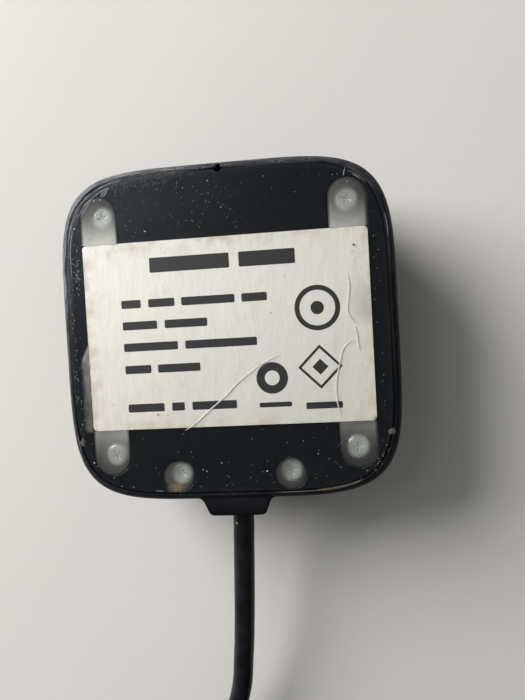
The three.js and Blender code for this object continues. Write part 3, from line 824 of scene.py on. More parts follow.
def ring_piece(name, node, inner, outer, low, high, finish, edge, body="root"):
    """A ring of the plug with bevelled edges."""
    profile = [
        (low, inner + edge), (low, outer - edge), (low + edge, outer), (high - edge, outer),
        (high, outer - edge), (high, inner + edge), (high - edge, inner), (low + edge, inner),
    ]
    return plug_piece(name, node, profile, finish, body)


def make_keeper():
    """Split ring that holds the nut on the body."""
    keeper = ring_piece("nut_keeper", "retaining_ring", 3.75, 4.75, 15.2, 15.8, "nickel", 0.12)
    carve(keeper, [moved(block(-0.7, 0.7, 3, 6, 15, 16), PLUG_AXIS)], 30)
    return keeper


def make_wave_spring():
    """Ring bent into three waves."""
    segments, middle, half, height = 96, 18.45, 0.12, 0.35
    rings = []
    for (x, y), index in zip(circle(1.0, segments), range(segments)):
        lift = middle + height * math.cos(3 * (2 * math.pi * index / segments))
        section = [(4.3, lift - half), (4.8, lift - half), (4.8, lift + half), (4.3, lift + half)]
        rings.append([(radius * x, radius * y, z) for radius, z in section])
    spring = piece("spring_ring", moved(loft(rings, True), PLUG_AXIS), "nickel", "wave_spring")
    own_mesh(spring)
    return spring


def track_cutters(turn):
    """One bayonet track: a ramp through the wall, a round seat and a mouth inside the front edge."""
    per_mm = math.degrees(1 / 6.0)  # degrees round the wall for a millimetre of arc

    def through_wall(outline, inner, outer):
        """A patch of the wall, from an outline of (degrees round, millimetres along)."""
        rings = []
        for radius in (inner, outer):
            around = [(math.radians(turn + degrees), along) for degrees, along in outline]
            rings.append([(radius * math.cos(a), radius * math.sin(a), along) for a, along in around])
        return loft(rings)

    def on_wall(centre, points):
        return [(centre[0] + x * per_mm, centre[1] + y) for x, y in points]

    start, end = (0.0, 26.6), (58.0, 22.0)
    slope = math.degrees(math.atan2(end[1] - start[1], (end[0] - start[0]) / per_mm))
    ramp = on_wall(end, arc(0, 0, 1.1, slope - 90, 180, 12))
    ramp += on_wall(start, arc(0, 0, 1.1, slope + 90, 180, 12))
    seat = on_wall(end, circle(1.3, 32))
    mouth = on_wall((0, 0), [(-1.15, 26.6), (0, 26.6), (1.15, 26.6), (1.15, 31), (0, 31), (-1.15, 31)])
    return [through_wall(ramp, 3.5, 9), through_wall(seat, 3.5, 9), through_wall(mouth, 3.95, 6.3)]


def make_nut():
    """Bayonet coupling nut with a diamond knurl on its grip."""
    rows, grip_low, grip_high = 26, 17.15, 21.35
    knurl_count, knurl_depth, knurl_twist = 44, 0.2, 1.02
    grip = [(grip_low + (grip_high - grip_low) * row / rows, NUT_RADIUS) for row in range(rows + 1)]
    profile = [
        (NUT_REAR, 4.3), (NUT_REAR, 5.75), (16.0, 5.9), (16.55, 6.55), (16.9, 6.95), *grip,
        (21.6, 6.95), (21.8, 6.9), (28.6, 6.9), (28.95, 6.84), (29.3, 6.68), (NUT_FRONT, 6.5),
        (NUT_FRONT, 5.25), (29.4, 5.1), (29.2, 4.97), (29.0, 4.95), (17.2, 4.95), (17.2, 4.3),
    ]

    def knurled(angle, along, radius):
        if radius != NUT_RADIUS:
            return radius
        twist = (along - grip_low) * knurl_twist
        phases = [(knurl_count * angle / (2 * math.pi) + sign * twist) % 1 for sign in (1, -1)]
        return radius - knurl_depth * max(step(abs(phase - 0.5) * 2, 0.45, 1.0) for phase in phases)

    nut = plug_piece("bayonet_nut", "coupling_nut", profile, "nickel", "nut", 240, sharp=40, shape=knurled)
    carve(nut, [moved(cutter, PLUG_AXIS) for turn in (0, 180) for cutter in track_cutters(turn)], 32)
    return nut


plug_pieces = [
    make_boot(), make_ferrule(), make_plug_body(), make_contact(), make_insulator(), make_pin(),
    ring_piece("face_seal", "plug_seal", 4.15, 4.85, 20.3, 21.1, "silicone", 0.25),
    make_keeper(),
    ring_piece("spring_washer", "thrust_washer", 4.3, 4.85, 17.3, 17.7, "nickel", 0.06, "nut_carrier"),
    make_wave_spring(), make_nut(),
]

# ---- Housing: outlines that run round its superellipse ----


def reach(angle, half):
    """Distance from the housing's axis to a superellipse of a half side, in one direction."""
    c, s = abs(math.cos(angle)), abs(math.sin(angle))
    return half / (c**SQUARENESS + s**SQUARENESS) ** (1 / SQUARENESS)


def place_at(angle, distance):
    return distance * math.cos(angle), BODY_CENTRE_Y + distance * math.sin(angle)


def column_angles():
    """Directions of the housing's columns: even, and closer together at the boss and the notches."""
    degrees = {round(-90 + 1.25 * index, 3) for index in range(288)}
    degrees |= {round(-90 + 0.5 * index, 3) for index in range(-36, 37)}
    for x, y in NOTCHES:
        middle = math.degrees(math.atan2(y, x))
        degrees |= {round(middle + 0.16 * index, 3) for index in range(-11, 12)}
    wrapped = {round((value + 90) % 360 - 90, 3) for value in degrees}
    return [math.radians(value) for value in sorted(wrapped)]


ANGLES = column_angles()


def notch_reach(angle, side):
    """Where a ray meets a notch's near (-1) or far (1) side, or None where it misses them all."""
    for x, y in NOTCHES:
        along = x * math.cos(angle) + y * math.sin(angle)
        inside = along**2 - (x**2 + y**2 - NOTCH_RADIUS**2)
        if along > 0 and inside > 0:
            return along + side * math.sqrt(inside)
    return None


def boss_line():
    """The right half of the boss's outline as (angle off -Y, distance) pairs, from tip to root."""
    tip = -BODY_HALF - BOSS_REACH + BOSS_SET_BACK
    root = -BODY_HALF + 0.6
    places = [(0, tip), (1.5, tip), (2.75, tip)]
    bends = [
        ((2.75, tip), (3.25, tip), (3.42, tip + 0.45)),
        ((3.42, tip + 0.45), (3.65, tip + 0.95), (3.85, root - 1.0)),
        ((3.85, root - 1.0), (4.15, root - 0.35), (5.2, root - 0.05)),
    ]
    for bend in bends:
        for part in range(1, 9):
            t = part / 8
            places.append([(1 - t) ** 2 * a + 2 * t * (1 - t) * b + t**2 * c for a, b, c in zip(*bend)])
    return [(math.atan2(x, -y), math.hypot(x, y)) for x, y in places]


BOSS_LINE = boss_line()
LIP_LINE = [  # half side and height
    (LIP_INNER_HALF, 13.62), (18.68, 13.68), (18.75, 13.70), (18.92, 13.66), (19.10, 13.53),
    (19.23, 13.38), (19.28, 13.31),
]
PLATE_EDGE = [(PLATE_HALF, 13.60), (18.58, 13.66), (18.48, 13.76), (18.44, 13.79)]
SIDE_LINE = [
    (19.44, 12.95), (19.50, 12.75), (BODY_HALF, 12.4), (19.54, 11.8), (19.47, 11.2), (19.37, 10.6),
    (19.2, 10), (19.05, 8.4), (18.9, SHOULDER_TOP),
]
RIM_LINE = [(FILM_HALF, PLATE_TOP), *reversed(PLATE_EDGE), *LIP_LINE, (19.38, 13.15), *SIDE_LINE[:3]]


def radome_ring(half, height, boss=0.0, notched=False):
    """A ring of the housing, drawn out to the boss by a share, or out round the notches."""
    ring = []
    for angle in ANGLES:
        distance, level = reach(angle, half), height
        edge = notch_reach(angle, 1) if notched else None
        if edge and edge > distance:
            distance = min(edge + (half - LIP_INNER_HALF) * 0.05, reach(angle, LIP_LINE[-1][0]))
            if height > 13.5:
                level = read_off(LIP_LINE, distance / reach(angle, 1.0), LIP_LINE[-1][1])
        if boss:
            off = abs((angle + math.pi / 2 + math.pi) % (2 * math.pi) - math.pi)
            distance += boss * max(0.0, read_off(BOSS_LINE, off, 0.0) - distance)
        ring.append((*place_at(angle, distance), level))
    return ring


def radome_rings():
    """Rings from the middle of the cavity up over the lip and down outside to the crown."""
    bend = 7.5
    cavity = [(0.0, CROWN_WALL), (CROWN_HALF, CROWN_WALL)]
    for sine, cosine in quarter_turn(8):
        cavity.append((CROWN_HALF + (CAVITY_HALF - CROWN_HALF) * sine, bend - (bend - CROWN_WALL) * cosine))
    cavity += [(CAVITY_HALF, LEDGE_TOP), (LIP_INNER_HALF, LEDGE_TOP), (LIP_INNER_HALF, NOTCH_FLOOR)]
    wall = [(LIP_INNER_HALF, NOTCH_FLOOR), (LIP_INNER_HALF, 13.0), *LIP_LINE]
    outside = list(SIDE_LINE)
    for sine, cosine in [*quarter_turn(24)[-2::-1], (0, 1)]:
        outside.append((CROWN_HALF + SHOULDER_REACH * sine, SHOULDER_TOP - SHOULDER_TOP * cosine))
    return [
        *(radome_ring(*row) for row in cavity), *(radome_ring(*row, notched=True) for row in wall),
        radome_ring(19.29, 13.29, 0.78), radome_ring(19.32, 13.25, 0.90), radome_ring(19.38, 13.15, 0.97),
        *(radome_ring(*row, step(row[1], 5.0, 5.6)) for row in outside), radome_ring(0.0, 0.0),
    ]


def rim_place(x, y):
    """Angle round the housing from -Y, in radians, and half side of the superellipse there."""
    from_centre = y - BODY_CENTRE_Y
    angle = math.atan2(from_centre, x)
    return (angle + math.pi / 2) % (2 * math.pi), math.hypot(x, from_centre) / reach(angle, 1.0)


def towards(angle, degrees):
    return math.cos(angle - math.radians(degrees))


def rim_scuff_and_highlight(x, y, z):
    """How scuffed the housing's rim is, together with a painted highlight on the sides that face the light:
    most along its top and left sides and at the upper left corner, least on its right.
    """
    angle, half = rim_place(x, y)
    # How much the rim faces the light from the upper left; the painted highlight follows it.
    facing = 0.5 + 0.5 * towards(angle, 215)
    painted_grey = 0.03 + 0.97 * step(facing, 0.2, 0.88) + 0.14 * max(0.0, math.cos(angle))
    left = step(-math.sin(angle), 0.45, 0.8)
    near = 18.25 + 0.42 * left
    on_rim = step(half, near, near + 0.3) * (1 - step(half, BODY_HALF, BODY_HALF + 0.15))
    # A stronger painted highlight at the upper left corner, which faces the light.
    corner = step(towards(angle, 228), 0.75, 0.97)
    return step(z, 11.5, 13.2) * on_rim * min(1.0, painted_grey) * (0.62 - 0.18 * left + 0.75 * corner)


def plate_scuff_and_highlight(x, y, z):
    """The plate's edge is scuffed a little all round and lightened by a painted highlight in its upper left
    corner, which faces the light.
    """
    angle, half = rim_place(x, y)
    # Painted highlight: the upper left corner, which faces the light.
    corner = step(towards(angle, 228), 0.72, 0.96)
    return (0.12 + 0.88 * corner) * step(half, 18.2, 18.45) * step(z, 13.3, 13.6)


def paint_rim(obj, scuff_and_highlight):
    paint(obj, "along", lambda x, y, z: rim_place(x, y)[0] * BODY_HALF * MM)
    paint(obj, "across", lambda x, y, z: (rim_place(x, y)[1] - z) * MM)
    paint(obj, "scuff_and_highlight", scuff_and_highlight)


def lead_hole(start, end):
    return lathe_on_lead([(start, GROMMET_BORE), (end, GROMMET_BORE)], 48)


def make_radome():
    radome = piece("housing_cover", loft(radome_rings()), "housing", "radome", sharp=38)
    carve(radome, [lead_hole(BOSS_TIP_Y - 2, BODY_CENTRE_Y - CAVITY_HALF + 1)], 38)
    paint_rim(radome, rim_scuff_and_highlight)


def well_cutter(x, low, high, radius):
    """An upright slot with round ends and a small chamfer at its mouth."""
    rings = []
    for z, grow in ((WELL_FLOOR, 0.0), (13.64, 0.0), (13.76, 0.06), (PLATE_TOP + 0.05, 0.2), (15, 0.2)):
        ends = [*arc(x, high, radius + grow, 0, 180, 24), *arc(x, low, radius + grow, 180, 180, 24)]
        rings.append([(*point, z) for point in ends])
    return loft(rings)


def make_base_plate():
    rows = [(0.0, PLATE_BOTTOM, False), (PLATE_HALF, PLATE_BOTTOM, False), (PLATE_HALF, NOTCH_FLOOR, False)]
    notched_rows = [(PLATE_HALF, NOTCH_FLOOR), *PLATE_EDGE, (18.38, PLATE_TOP)]
    rows += [(half, height, True) for half, height in notched_rows]
    rows += [(17.8, PLATE_TOP, False), (0.0, PLATE_TOP, False)]
    rings = []
    for half, height, notched in rows:
        ring = []
        for angle in ANGLES:
            edge = notch_reach(angle, -1) if notched else None
            ring.append((*place_at(angle, min(reach(angle, half), edge or math.inf)), height))
        rings.append(ring)
    plate = piece("base_cover", loft(rings), "plate", "base_plate", sharp=30)
    low, high, cable_y = (BODY_CENTRE_Y + y for y in (SCREW_BOTTOM_Y, SCREW_TOP_Y, CABLE_SCREW_Y))
    wells = [well_cutter(x, low, high, STADIUM_RADIUS) for x in (-SCREW_X, SCREW_X)]
    for x in (-CABLE_SCREW_X, CABLE_SCREW_X):
        wells.append(well_cutter(x, cable_y - 1e-3, cable_y + 1e-3, ROUND_WELL_RADIUS))
    holes = [
        moved(lathe([(9, 1.1), (12, 1.1)], 24), Matrix.Translation((x, BODY_CENTRE_Y + y, 0)))
        for x, y, _ in SCREWS.values()
    ]
    pocket = block(-3.1, 3.1, BODY_CENTRE_Y - 17.6, BODY_CENTRE_Y - 14.6, 9.4, 12.1)
    carve(plate, [*wells, *holes, pocket, lead_hole(BOSS_TIP_Y - 1, BODY_CENTRE_Y - 17)], 28)
    paint_rim(plate, plate_scuff_and_highlight)


# ---- Film and label on the base ----


def well_depth_inside(x, y):
    """How far a place is inside the nearest well's edge, in millimetres; negative outside."""
    from_centre = y - BODY_CENTRE_Y
    nearest = min(max(from_centre, SCREW_BOTTOM_Y), SCREW_TOP_Y)
    long_wells = STADIUM_RADIUS - math.hypot(abs(x) - SCREW_X, from_centre - nearest)
    round_wells = ROUND_WELL_RADIUS - math.hypot(abs(x) - CABLE_SCREW_X, from_centre - CABLE_SCREW_Y)
    return max(long_wells, round_wells)


def label_inset(x, y):
    return min(LABEL_WIDTH / 2 - abs(x), LABEL_DEPTH / 2 - abs(y - BODY_CENTRE_Y))


def label_cover(x, y):
    """1 over the label and 0 away from it."""
    return step(label_inset(x, y), -0.35, 0.05)


def film_height(x, y):
    """Height of the film's upper face."""
    wave = 0.006 * math.sin(0.9 * x + 0.4 * y) + 0.005 * math.sin(0.35 * x - 1.1 * y + 1.3)
    sag = 0.10 * step(well_depth_inside(x, y), 0.0, 1.8) * (1 - label_cover(x, y))
    return 13.962 + 0.026 * label_cover(x, y) + wave - sag


def film_base(x, y):
    """Height of the film's lower face."""
    return min(film_height(x, y) - 0.05, 13.832 + 0.098 * label_cover(x, y))


def film_painted_light(x, y, z):
    """Painted light on the milky film: lightest beside the label, a painted highlight over the screws,
    lighter in the upper and left wells where the light falls and on the left side of each upper well, least
    at the wells' ends.
    """
    from_centre = y - BODY_CENTRE_Y
    beside_label = 1 - step(abs(from_centre) - LABEL_DEPTH / 2, 0.0, 4.2)
    screw = min(math.hypot(x - screw_x, from_centre - screw_y) for screw_x, screw_y, _ in SCREWS.values())
    over_screw = 0.10 * (1 - step(screw, 1.1, 1.5))
    upper, left = step(from_centre, -4, 4), 1 - step(x, -12, 12)
    lit = 0.34 + 0.14 * upper + 0.10 * left + 0.13 * upper * left
    base = 0.03 + 0.17 * upper + 0.12 * left - 0.10 * upper * left
    tilt = 0.09 * upper * max(-1.0, min(1.0, (math.copysign(SCREW_X, x) - x) / 1.4))
    return min(1.0, max(0.0, base + lit * beside_label + over_screw + tilt))


def film_grime(x, y, z):
    """Brown dirt at the foot of the left round well."""
    return step(1.5 - math.hypot(x + 6.9, 1.6 * (y + 16.4)), 0.0, 1.1)


def film_ring(half, height_at):
    ring = []
    for angle in ANGLES:
        edge = notch_reach(angle, -1)
        kept = min(1.0, (edge - 0.03) / reach(angle, FILM_HALF)) if edge else 1.0
        place = place_at(angle, reach(angle, half) * kept)
        ring.append((*place, height_at(*place)))
    return ring


def make_film():
    rows = [FILM_HALF * part / 64 for part in range(65)]
    rings = [film_ring(half, film_height) for half in rows]
    rings += [film_ring(half, film_base) for half in reversed(rows)]
    film = piece("cover_film", loft(rings), "film", "base_film", sharp=60)
    film.data.materials.append(FINISHES["under"])
    for polygon in film.data.polygons:
        polygon.material_index = 0 if polygon.normal.z > 0.3 else 1
    # Painted light on the film, worked out from each vertex's place.
    paint(film, "painted_light", film_painted_light)
    paint(film, "grime", film_grime)


def rounded_rectangle(half_width, half_depth, radius, centre, segments=6):
    across, along = half_width - radius, half_depth - radius
    corners = [(across, -along, -90), (across, along, 0), (-across, along, 90), (-across, -along, 180)]
    return [
        point for x, y, start in corners
        for point in arc(centre[0] + x, centre[1] + y, radius, start, 90, segments)
    ]


def make_label():
    """Label with rounded corners; its top is a fine sheet of rings so that its edge can be shaded."""
    low, middle = PLATE_TOP + 0.03, LABEL_DEPTH / 2 - 0.01
    rows = [(middle, low), (0.0, low), (0.0, LABEL_TOP - 0.012)]
    rows += [(inset, LABEL_TOP) for inset in (0.012, 0.3, 0.8, 1.6, 3.2, 6, middle)]
    rings = []
    for inset, z in rows:
        half_width, half_depth = LABEL_WIDTH / 2 - inset, LABEL_DEPTH / 2 - inset
        radius = max(0.004, min(0.5 - inset * 0.2, half_depth))
        outline = rounded_rectangle(half_width, half_depth, radius, (0, BODY_CENTRE_Y))
        rings.append([(*point, z) for point in outline])
    label = piece("paper_label", loft(rings), "label", "rating_label", sharp=40)
    paint(label, "edge", lambda x, y, z: 1 - step(label_inset(x, y), 0.0, 3.0))


def make_print():
    """Grey bars and plain marks printed on the label, in the places where a rating label has its text."""
    low, high = LABEL_TOP + 0.001, LABEL_TOP + 0.006
    left, top = -LABEL_WIDTH / 2, BODY_CENTRE_Y + LABEL_DEPTH / 2

    def bar(start, end, down, thick):
        middle = ((left + start + left + end) / 2, top - down)
        radius = min(0.16, thick * 0.4)
        return slab(rounded_rectangle((end - start) / 2, thick / 2, radius, middle, 4), low, high)

    def regular(across, down, radius, sides):
        return [(left + across + x, top - down + y) for x, y in circle(radius, sides)]

    def ring(across, down, outer, inner, sides):
        section = ((inner, low), (outer, low), (outer, high), (inner, high))
        outlines = [(regular(across, down, radius, sides), z) for radius, z in section]
        return loft([[(*point, z) for point in outline] for outline, z in outlines], True)

    parts = []
    rows = [
        (2.75, 1.7, [(7.9, 17.2), (18.3, 24.7)]),
        (7.1, 0.95, [(4.3, 6.6), (7.5, 10.6), (11.4, 17.6), (18.4, 21.3)]),
        (9.6, 0.95, [(4.3, 8.4), (9.3, 14.3)]),
        (12.1, 0.95, [(4.3, 10.7), (11.6, 19.9)]),
        (14.7, 0.95, [(4.3, 7.4), (8.2, 13.2)]),
        (19.2, 0.95, [(4.4, 8.7), (9.6, 11.1), (12.0, 17.2)]),
        (19.45, 0.55, [(19.8, 23.5)]),
        (19.75, 0.75, [(25.1, 29.2)]),
    ]
    for down, thick, words in rows:
        parts += [bar(start, end, down, thick) for start, end in words]
    parts += [ring(26.9, 8.75, 2.55, 2.0, 48), slab(regular(26.9, 8.75, 0.75, 32), low, high)]
    parts += [ring(21.4, 16.4, 1.8, 0.85, 40), ring(26.9, 15.4, 2.5, 2.1, 4)]
    parts.append(slab(regular(26.9, 15.4, 0.9, 4), low, high))
    piece("label_marks", joined(parts), "ink")


# ---- Screws and grommet ----


def make_screws():
    """Pan-head screws with a cross recess, each turned to its own angle."""
    top, shoulder = WELL_FLOOR + 1.15, WELL_FLOOR + 0.72
    profile = [(6, 0), (6.3, 0.5), (6.9, 0.92), (WELL_FLOOR + 0.02, 0.92), (WELL_FLOOR + 0.02, 1.4)]
    profile += [(WELL_FLOOR + 0.07, 1.45), (shoulder, 1.45)]
    profile += [(shoulder + 0.43 * sine, 0.8 + 0.65 * cosine) for sine, cosine in quarter_turn(8)]
    profile.append((top, 0))
    recess = []
    for z, long, wide in ((top - 0.16, 0.3, 0.08), (top - 0.06, 0.6, 0.13), (top + 0.3, 0.8, 0.18)):
        recess.append([(-long, -wide, z), (long, -wide, z), (long, wide, z), (-long, wide, z)])
    for name, (x, y, turn) in SCREWS.items():
        shift = Matrix.Translation((x, BODY_CENTRE_Y + y, 0)) @ spun(turn)
        part = moved(lathe(profile, 48), shift)
        screw = piece(f"pan_screw_{name}", part, "zinc", f"screw_{name}", sharp=40)
        carve(screw, [moved(loft(recess), shift @ spun(quarter)) for quarter in (0, 90)], 35)


def make_grommet():
    """Rubber sleeve in the boss with a rounded lip round the lead."""
    bore = LEAD_DIAMETER / 2 + 0.05
    tip = BOSS_TIP_Y + BOSS_SET_BACK
    wall = BODY_CENTRE_Y - CAVITY_HALF
    profile = [(wall + 1.1, bore), (wall + 1.1, 2.5), (wall + 1.0, 2.6), (wall + 0.25, 2.6)]
    profile += [(wall + 0.25, 2.07), (tip + 0.02, 2.07), (tip - 0.02, 2.1)]
    for sine, cosine in quarter_turn(8):
        profile.append((tip - 0.05 - (tip - EXIT_Y - 0.15) * sine, 1.62 + 0.5 * cosine))
    profile += [(EXIT_Y + 0.04, bore + 0.06), (EXIT_Y + 0.12, bore)]
    piece("lead_grommet", lathe_on_lead(profile, 64, True), "rubber", "cable_grommet", sharp=45)


make_radome()
make_base_plate()
make_film()
make_label()
make_print()
make_screws()
make_grommet()

# ---- Signs of use, and painted light in the seam: fine marks laid on the base, its rim and the lead ----


def surface_height(x, y):
    """Height of the base at a place: film, plate edge or housing lip."""
    half = rim_place(x, y)[1]
    return film_height(x, y) if half <= FILM_HALF else read_off(RIM_LINE, half, RIM_LINE[-1][1])


def ribbon(points, width, height, per_span=6):
    """A low ridge along a line of (x, y) places on the base, tapered to both ends."""
    line = smooth_line(points, per_span)
    rings = []
    for index, place in enumerate(line):
        before, after = line[max(0, index - 1)], line[min(len(line) - 1, index + 1)]
        run = (after - before).normalized()
        share = index / (len(line) - 1)
        taper = min(1.0, 0.15 + 4 * share, 0.15 + 4 * (1 - share))
        side = Vector((-run.y, run.x)) * (width / 2 * taper)
        ring = []
        for offset, lift in ((1, None), (0.5, 0.75), (0, 1), (-0.5, 0.75), (-1, None)):
            spot = place + side * offset
            ring.append((*spot, surface_height(*spot) + (lift * height * taper if lift else -0.004)))
        rings.append(ring)
    return loft(rings)


def ribbons(width, height, *lines):
    return [ribbon(line, width, height) for line in lines]


def rim_line(start, end, half, drift=0.0):
    """Places along the rim between two directions, in degrees round from the boss."""
    count = max(3, round(abs(end - start) / 2) + 1)
    shares = [index / (count - 1) for index in range(count)]
    angles = [math.radians(start + (end - start) * share - 90) for share in shares]
    return [place_at(angle, reach(angle, half + drift * share)) for angle, share in zip(angles, shares)]


def lump(dice, x, y, size, low, rise, stretch=1.6, profile=((1.0, 0.0), (0.92, 0.6), (0.45, 1.0))):
    """A low lump with an uneven outline; its profile pairs a share of its width with one of its height."""
    turn, longer = dice.uniform(0, math.pi), dice.uniform(1, stretch)
    radii = [size / 2 * dice.uniform(0.7, 1.15) for _ in range(9)]
    outline = [(radius * a * longer, radius * b) for radius, (a, b) in zip(radii, circle(1.0, 9))]
    c, s = math.cos(turn), math.sin(turn)
    return loft([
        [(x + scale * (a * c - b * s), y + scale * (a * s + b * c), low + share * rise) for a, b in outline]
        for scale, share in profile
    ])


def speck(dice, x, y, size):
    return lump(dice, x, y, size, surface_height(x, y) - 0.01, 0.01 + 0.3 * size)


def sprinkled(dice, count, place, low, high):
    """Specks at drawn places, of sizes between two limits."""
    return [speck(dice, *place(), dice.uniform(low, high)) for _ in range(count)]


def mark(name, parts, finish):
    piece(name, joined(parts), finish, sharp=25)


def make_creases():
    """Creases in the film over the label, and fainter ones beside it."""
    long_crease = [
        (-5.5, -9.8), (-4.3, -9.1), (-2.5, -7.6), (-0.5, -6.0), (0.7, -4.8), (2.0, -3.8), (3.7, -2.6),
        (6.1, -1.5),
    ]
    right_creases = ribbons(
        0.19, 0.022,
        [(14.0, 7.2), (14.1, 5.8), (14.0, 4.7), (13.8, 2.9), (14.2, 2.0), (14.8, 1.4)],
        [(14.5, 1.3), (14.7, 0.2), (14.8, -1.0), (14.9, -1.6)],
        [
            (14.3, -0.3), (13.4, -0.9), (12.9, -1.8), (12.6, -3.1), (12.2, -4.6), (12.1, -6.4), (12.2, -7.6),
            (12.5, -8.8),
        ],
    )
    halves = [ribbon(long_crease[:6], 0.19, 0.03), ribbon(long_crease[4:], 0.14, 0.02)]
    mark("film_creases", halves + right_creases, "crease")
    scratches = ribbons(
        0.09, 0.02,
        [(14.4, 18.9), (14.2, 18.4), (14.1, 17.8)],
        [(14.5, 18.5), (15.5, 18.0), (16.2, 17.5), (16.8, 16.9)],
        [(15.0, 18.0), (15.8, 17.5), (16.5, 16.9)],
        [(-15.5, 16.9), (-14.5, 17.9), (-12.8, 18.8)],
        [(-13.5, 17.6), (-13.0, 18.4), (-12.7, 18.6)],
        [(-15.7, 16.8), (-15.1, 17.6)],
        [(-16.8, 15.4), (-15.8, 16.9), (-14.9, 17.6)],
        [(-16.4, 15.6), (-15.3, 17.0)],
        [(-17.9, 8.5), (-17.85, 12.0), (-17.4, 14.2)],
        [(18.4, 13.5), (18.6, 12.4), (18.7, 10.7)],
    )
    mark("film_scratches", scratches, "scratch")
    smears = [ribbon([(-13.8, 17.7), (-13.4, 18.2), (-12.9, 18.7)], 0.34, 0.008)]
    smears.append(ribbon([(-9.4, -16.7), (-8.4, -16.8)], 0.16, 0.008))
    mark("film_smears", smears, "smear")


def make_rim_marks():
    """Scuffs along the upper left part of the rim and short nicks across it, grey fills in the seam as
    painted light and painted shade, and scratches at the upper left corner.
    """
    dice = random.Random(11)
    scuffs = []
    for _ in range(110):
        middle, length = dice.gauss(232, 30), dice.uniform(1.5, 9)
        half = dice.uniform(18.5, 19.42)
        line = rim_line(middle - length / 2, middle + length / 2, half, dice.uniform(-0.06, 0.06))
        scuffs.append(ribbon(line, dice.uniform(0.03, 0.08), 0.006, 3))
    for first, last, count in ((184, 199, 44), (150, 162, 26), (163, 182, 14), (205, 250, 20)):
        for _ in range(count):
            turn, half = dice.uniform(first, last), dice.uniform(18.55, 18.85)
            length, slant = dice.uniform(0.15, 0.45), dice.uniform(-0.5, 0.5)
            nick = rim_line(turn, turn + slant, half, length)[::2]
            scuffs.append(ribbon(nick, dice.uniform(0.05, 0.09), 0.012, 2))
    mark("rim_scuffs", scuffs, "scratch")
    # The grey fill in the top seam is partly seam dust and partly painted light that lifts the seam's shade;
    # the darker fill along the sides is painted shade.
    seams = [("seam_painted_light", "seam", 0.07, ((187, 218), (148, 173)))]
    seams.append(("seam_shade", "seam_shade", 0.06, ((216, 300), (60, 150))))
    for name, finish, height, spans in seams:
        lines = [ribbon(rim_line(*span, 18.62), 0.15, height, 3) for span in spans]
        mark(name, lines, finish)
    corner = []
    for _ in range(90):
        x, y = rim_line(dice.gauss(213, 11), 0, dice.uniform(17.2, 18.3))[0]
        turn = dice.gauss(1.0, 0.7)
        reach_x, reach_y = (dice.uniform(0.1, 0.5) * part for part in (math.cos(turn), math.sin(turn)))
        corner.append(ribbon([(x - reach_x, y - reach_y), (x + reach_x, y + reach_y)], 0.045, 0.008, 2))
    mark("corner_scratches", corner, "smear")


def make_dust():
    """Pale specks on the film: a few clear ones and many faint ones."""
    dice = random.Random(23)
    clear = [
        (-8.8, 13.4, 0.17), (-1.4, -13.7, 0.15), (-3.6, -14.4, 0.12), (-3.2, -14.6, 0.15), (3.8, -14.8, 0.2),
        (0.2, 15.5, 0.1), (-4.1, 18.0, 0.09), (-1.2, 18.6, 0.12), (-10.5, 14.7, 0.08), (9.7, -13.0, 0.11),
        (8.1, -11.5, 0.08), (17.0, -16.0, 0.12), (-17.2, 14.3, 0.18), (-16.6, -13.2, 0.2),
        (-16.2, -13.6, 0.12), (-13.4, -16.1, 0.12), (-12.0, -16.2, 0.1), (-14.6, 17.3, 0.2),
        (-13.9, 17.4, 0.17), (14.5, 17.2, 0.13),
    ]
    mark("film_dust", [speck(dice, *place) for place in clear], "dust")
    faint = []
    while len(faint) < 230:
        x, y = dice.uniform(-17.6, 17.6), BODY_CENTRE_Y + dice.uniform(-17.8, 17.8)
        half = rim_place(x, y)[1]
        if label_cover(x, y) == 0 and half < 17.9 and dice.random() < 0.25 + 0.75 * step(half, 12, 18):
            faint.append(speck(dice, x, y, dice.uniform(0.04, 0.11)))

    def by_left_rim():
        return rim_line(dice.uniform(238, 305), 0, dice.gauss(18.05, 0.22))[0]

    faint += sprinkled(dice, 90, by_left_rim, 0.04, 0.13)
    faint += sprinkled(dice, 70, lambda: (dice.gauss(-17.25, 0.22), dice.gauss(9.0, 1.6)), 0.05, 0.16)
    faint += sprinkled(dice, 80, lambda: (dice.uniform(-12, 2), dice.uniform(12.9, 18.9)), 0.04, 0.10)
    mark("film_faint_dust", faint, "faint_dust")
    dark = [(14.8, 10.2, 0.2), (14.6, 9.5, 0.09), (5.2, 3.2, 0.1), (-8.6, -7.8, 0.17), (-7.4, -7.9, 0.09)]
    dark += [(dice.uniform(-15.5, 15.5), BODY_CENTRE_Y + dice.uniform(-10, 10), 0.06) for _ in range(12)]
    mark("label_specks", [speck(dice, *place) for place in dark], "speck")


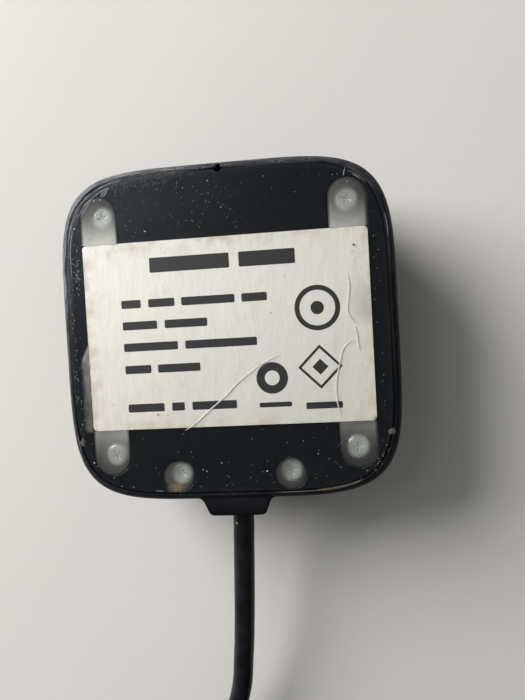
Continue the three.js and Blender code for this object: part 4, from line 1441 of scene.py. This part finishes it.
def make_dirt():
    """Dirt packed in the lower notches, along the lower right seam, on the boss and on the lead."""
    dice = random.Random(5)
    filling = ((1.0, 0.0), (1.0, 0.85), (0.85, 0.94), (0.45, 1.0))
    parts = [
        lump(dice, x, BODY_CENTRE_Y + y, 1.12, NOTCH_FLOOR + 0.02, 1.5, 1.05, filling) for x, y in NOTCHES[1:]
    ]
    parts.append(ribbon(rim_line(26, 40, 18.72), 0.30, 0.03, 3))
    mark("seam_dirt", parts, "dirt")

    def by_right_seam():
        return rim_line(dice.gauss(46, 3.5), 0, dice.uniform(18.15, 18.75))[0]

    grains = sprinkled(dice, 30, by_right_seam, 0.05, 0.15)
    grains += sprinkled(dice, 22, lambda: (dice.uniform(-3.6, 4.2), dice.gauss(-17.45, 0.12)), 0.04, 0.09)
    mark("seam_grains", grains, "grain")
    mark("seam_line", [ribbon(rim_line(14, 28, 18.72), 0.06, 0.02, 3)], "faint_dust")
    boss_top = 13.27
    row = [(1.9, -18.1 - 0.09 * index) for index in range(12)] + [(3.1, -18.3), (3.3, -18.9), (0.6, -19.2)]
    dust = [
        lump(dice, x + dice.gauss(0, 0.05), y, dice.uniform(0.07, 0.14), boss_top - 0.02, 0.04)
        for x, y in row
    ]
    mark("boss_dust", dust, "faint_dust")
    mark("lead_speck", [lump(dice, -0.7, -22.0, 0.2, LEAD_Z + 1.06, 0.08)], "dust")


make_creases()
make_rim_marks()
make_dust()
make_dirt()

# ---- Inner pieces keep their CAD shapes and get their own finishes ----

INNER_NODES = {
    "rubber": ["housing_gasket"],
    "magnet": ["magnet_left", "magnet_right"],
    "board": ["amplifier_board"],
    "tinned": ["shield_can", "patch_feed_pin", "pull_collar", "lead_shield_tail"],
    "ceramic": ["patch_ceramic"],
    "silver": ["patch_electrode", "saw_filter"],
    "tape": ["patch_tape"],
    "chip": ["amplifier_chip", "output_amplifier", "voltage_regulator"],
    "component": ["bias_inductor", "supply_capacitor"],
    "jacket": ["lead_inlet"],
    "polyethylene": ["lead_core_tail"],
}
for finish, nodes in INNER_NODES.items():
    for node in nodes:
        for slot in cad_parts[node].material_slots:
            slot.material = FINISHES[finish]

# ---- Floor and light ----


def make_stage():
    side = 3.0
    mesh = bpy.data.meshes.new("table")
    corners = [(-side, -side, 0), (side, -side, 0), (side, side, 0), (-side, side, 0)]
    mesh.from_pydata(corners, [], [(0, 1, 2, 3)])
    mesh.materials.append(floor_surface())
    link(bpy.data.objects.new("table", mesh))


def make_light(name, place, size, power, colour):
    """A round light that faces the origin."""
    data = bpy.data.lights.new(name, "AREA")
    data.shape = "DISK"
    data.size = size
    data.energy = power
    data.color = colour
    light = link(bpy.data.objects.new(name, data))
    light.location = place
    light.rotation_euler = (-Vector(place)).to_track_quat("-Z", "Y").to_euler()


def make_world():
    world = bpy.data.worlds.new("studio")
    world.use_nodes = True
    background = world.node_tree.nodes["Background"]
    background.inputs["Color"].default_value = (1.0, 0.97, 0.93, 1)
    background.inputs["Strength"].default_value = 0.16
    bpy.context.scene.world = world


make_stage()
make_light("key", (-0.382, 0.263, 0.22), 0.42, 5.3, (1.0, 0.985, 0.955))
make_light("fill", (-0.5, 0.4, 0.9), 0.6, 0.95, (0.96, 0.98, 1.0))
make_world()
bpy.context.scene.view_settings.view_transform = "Standard"
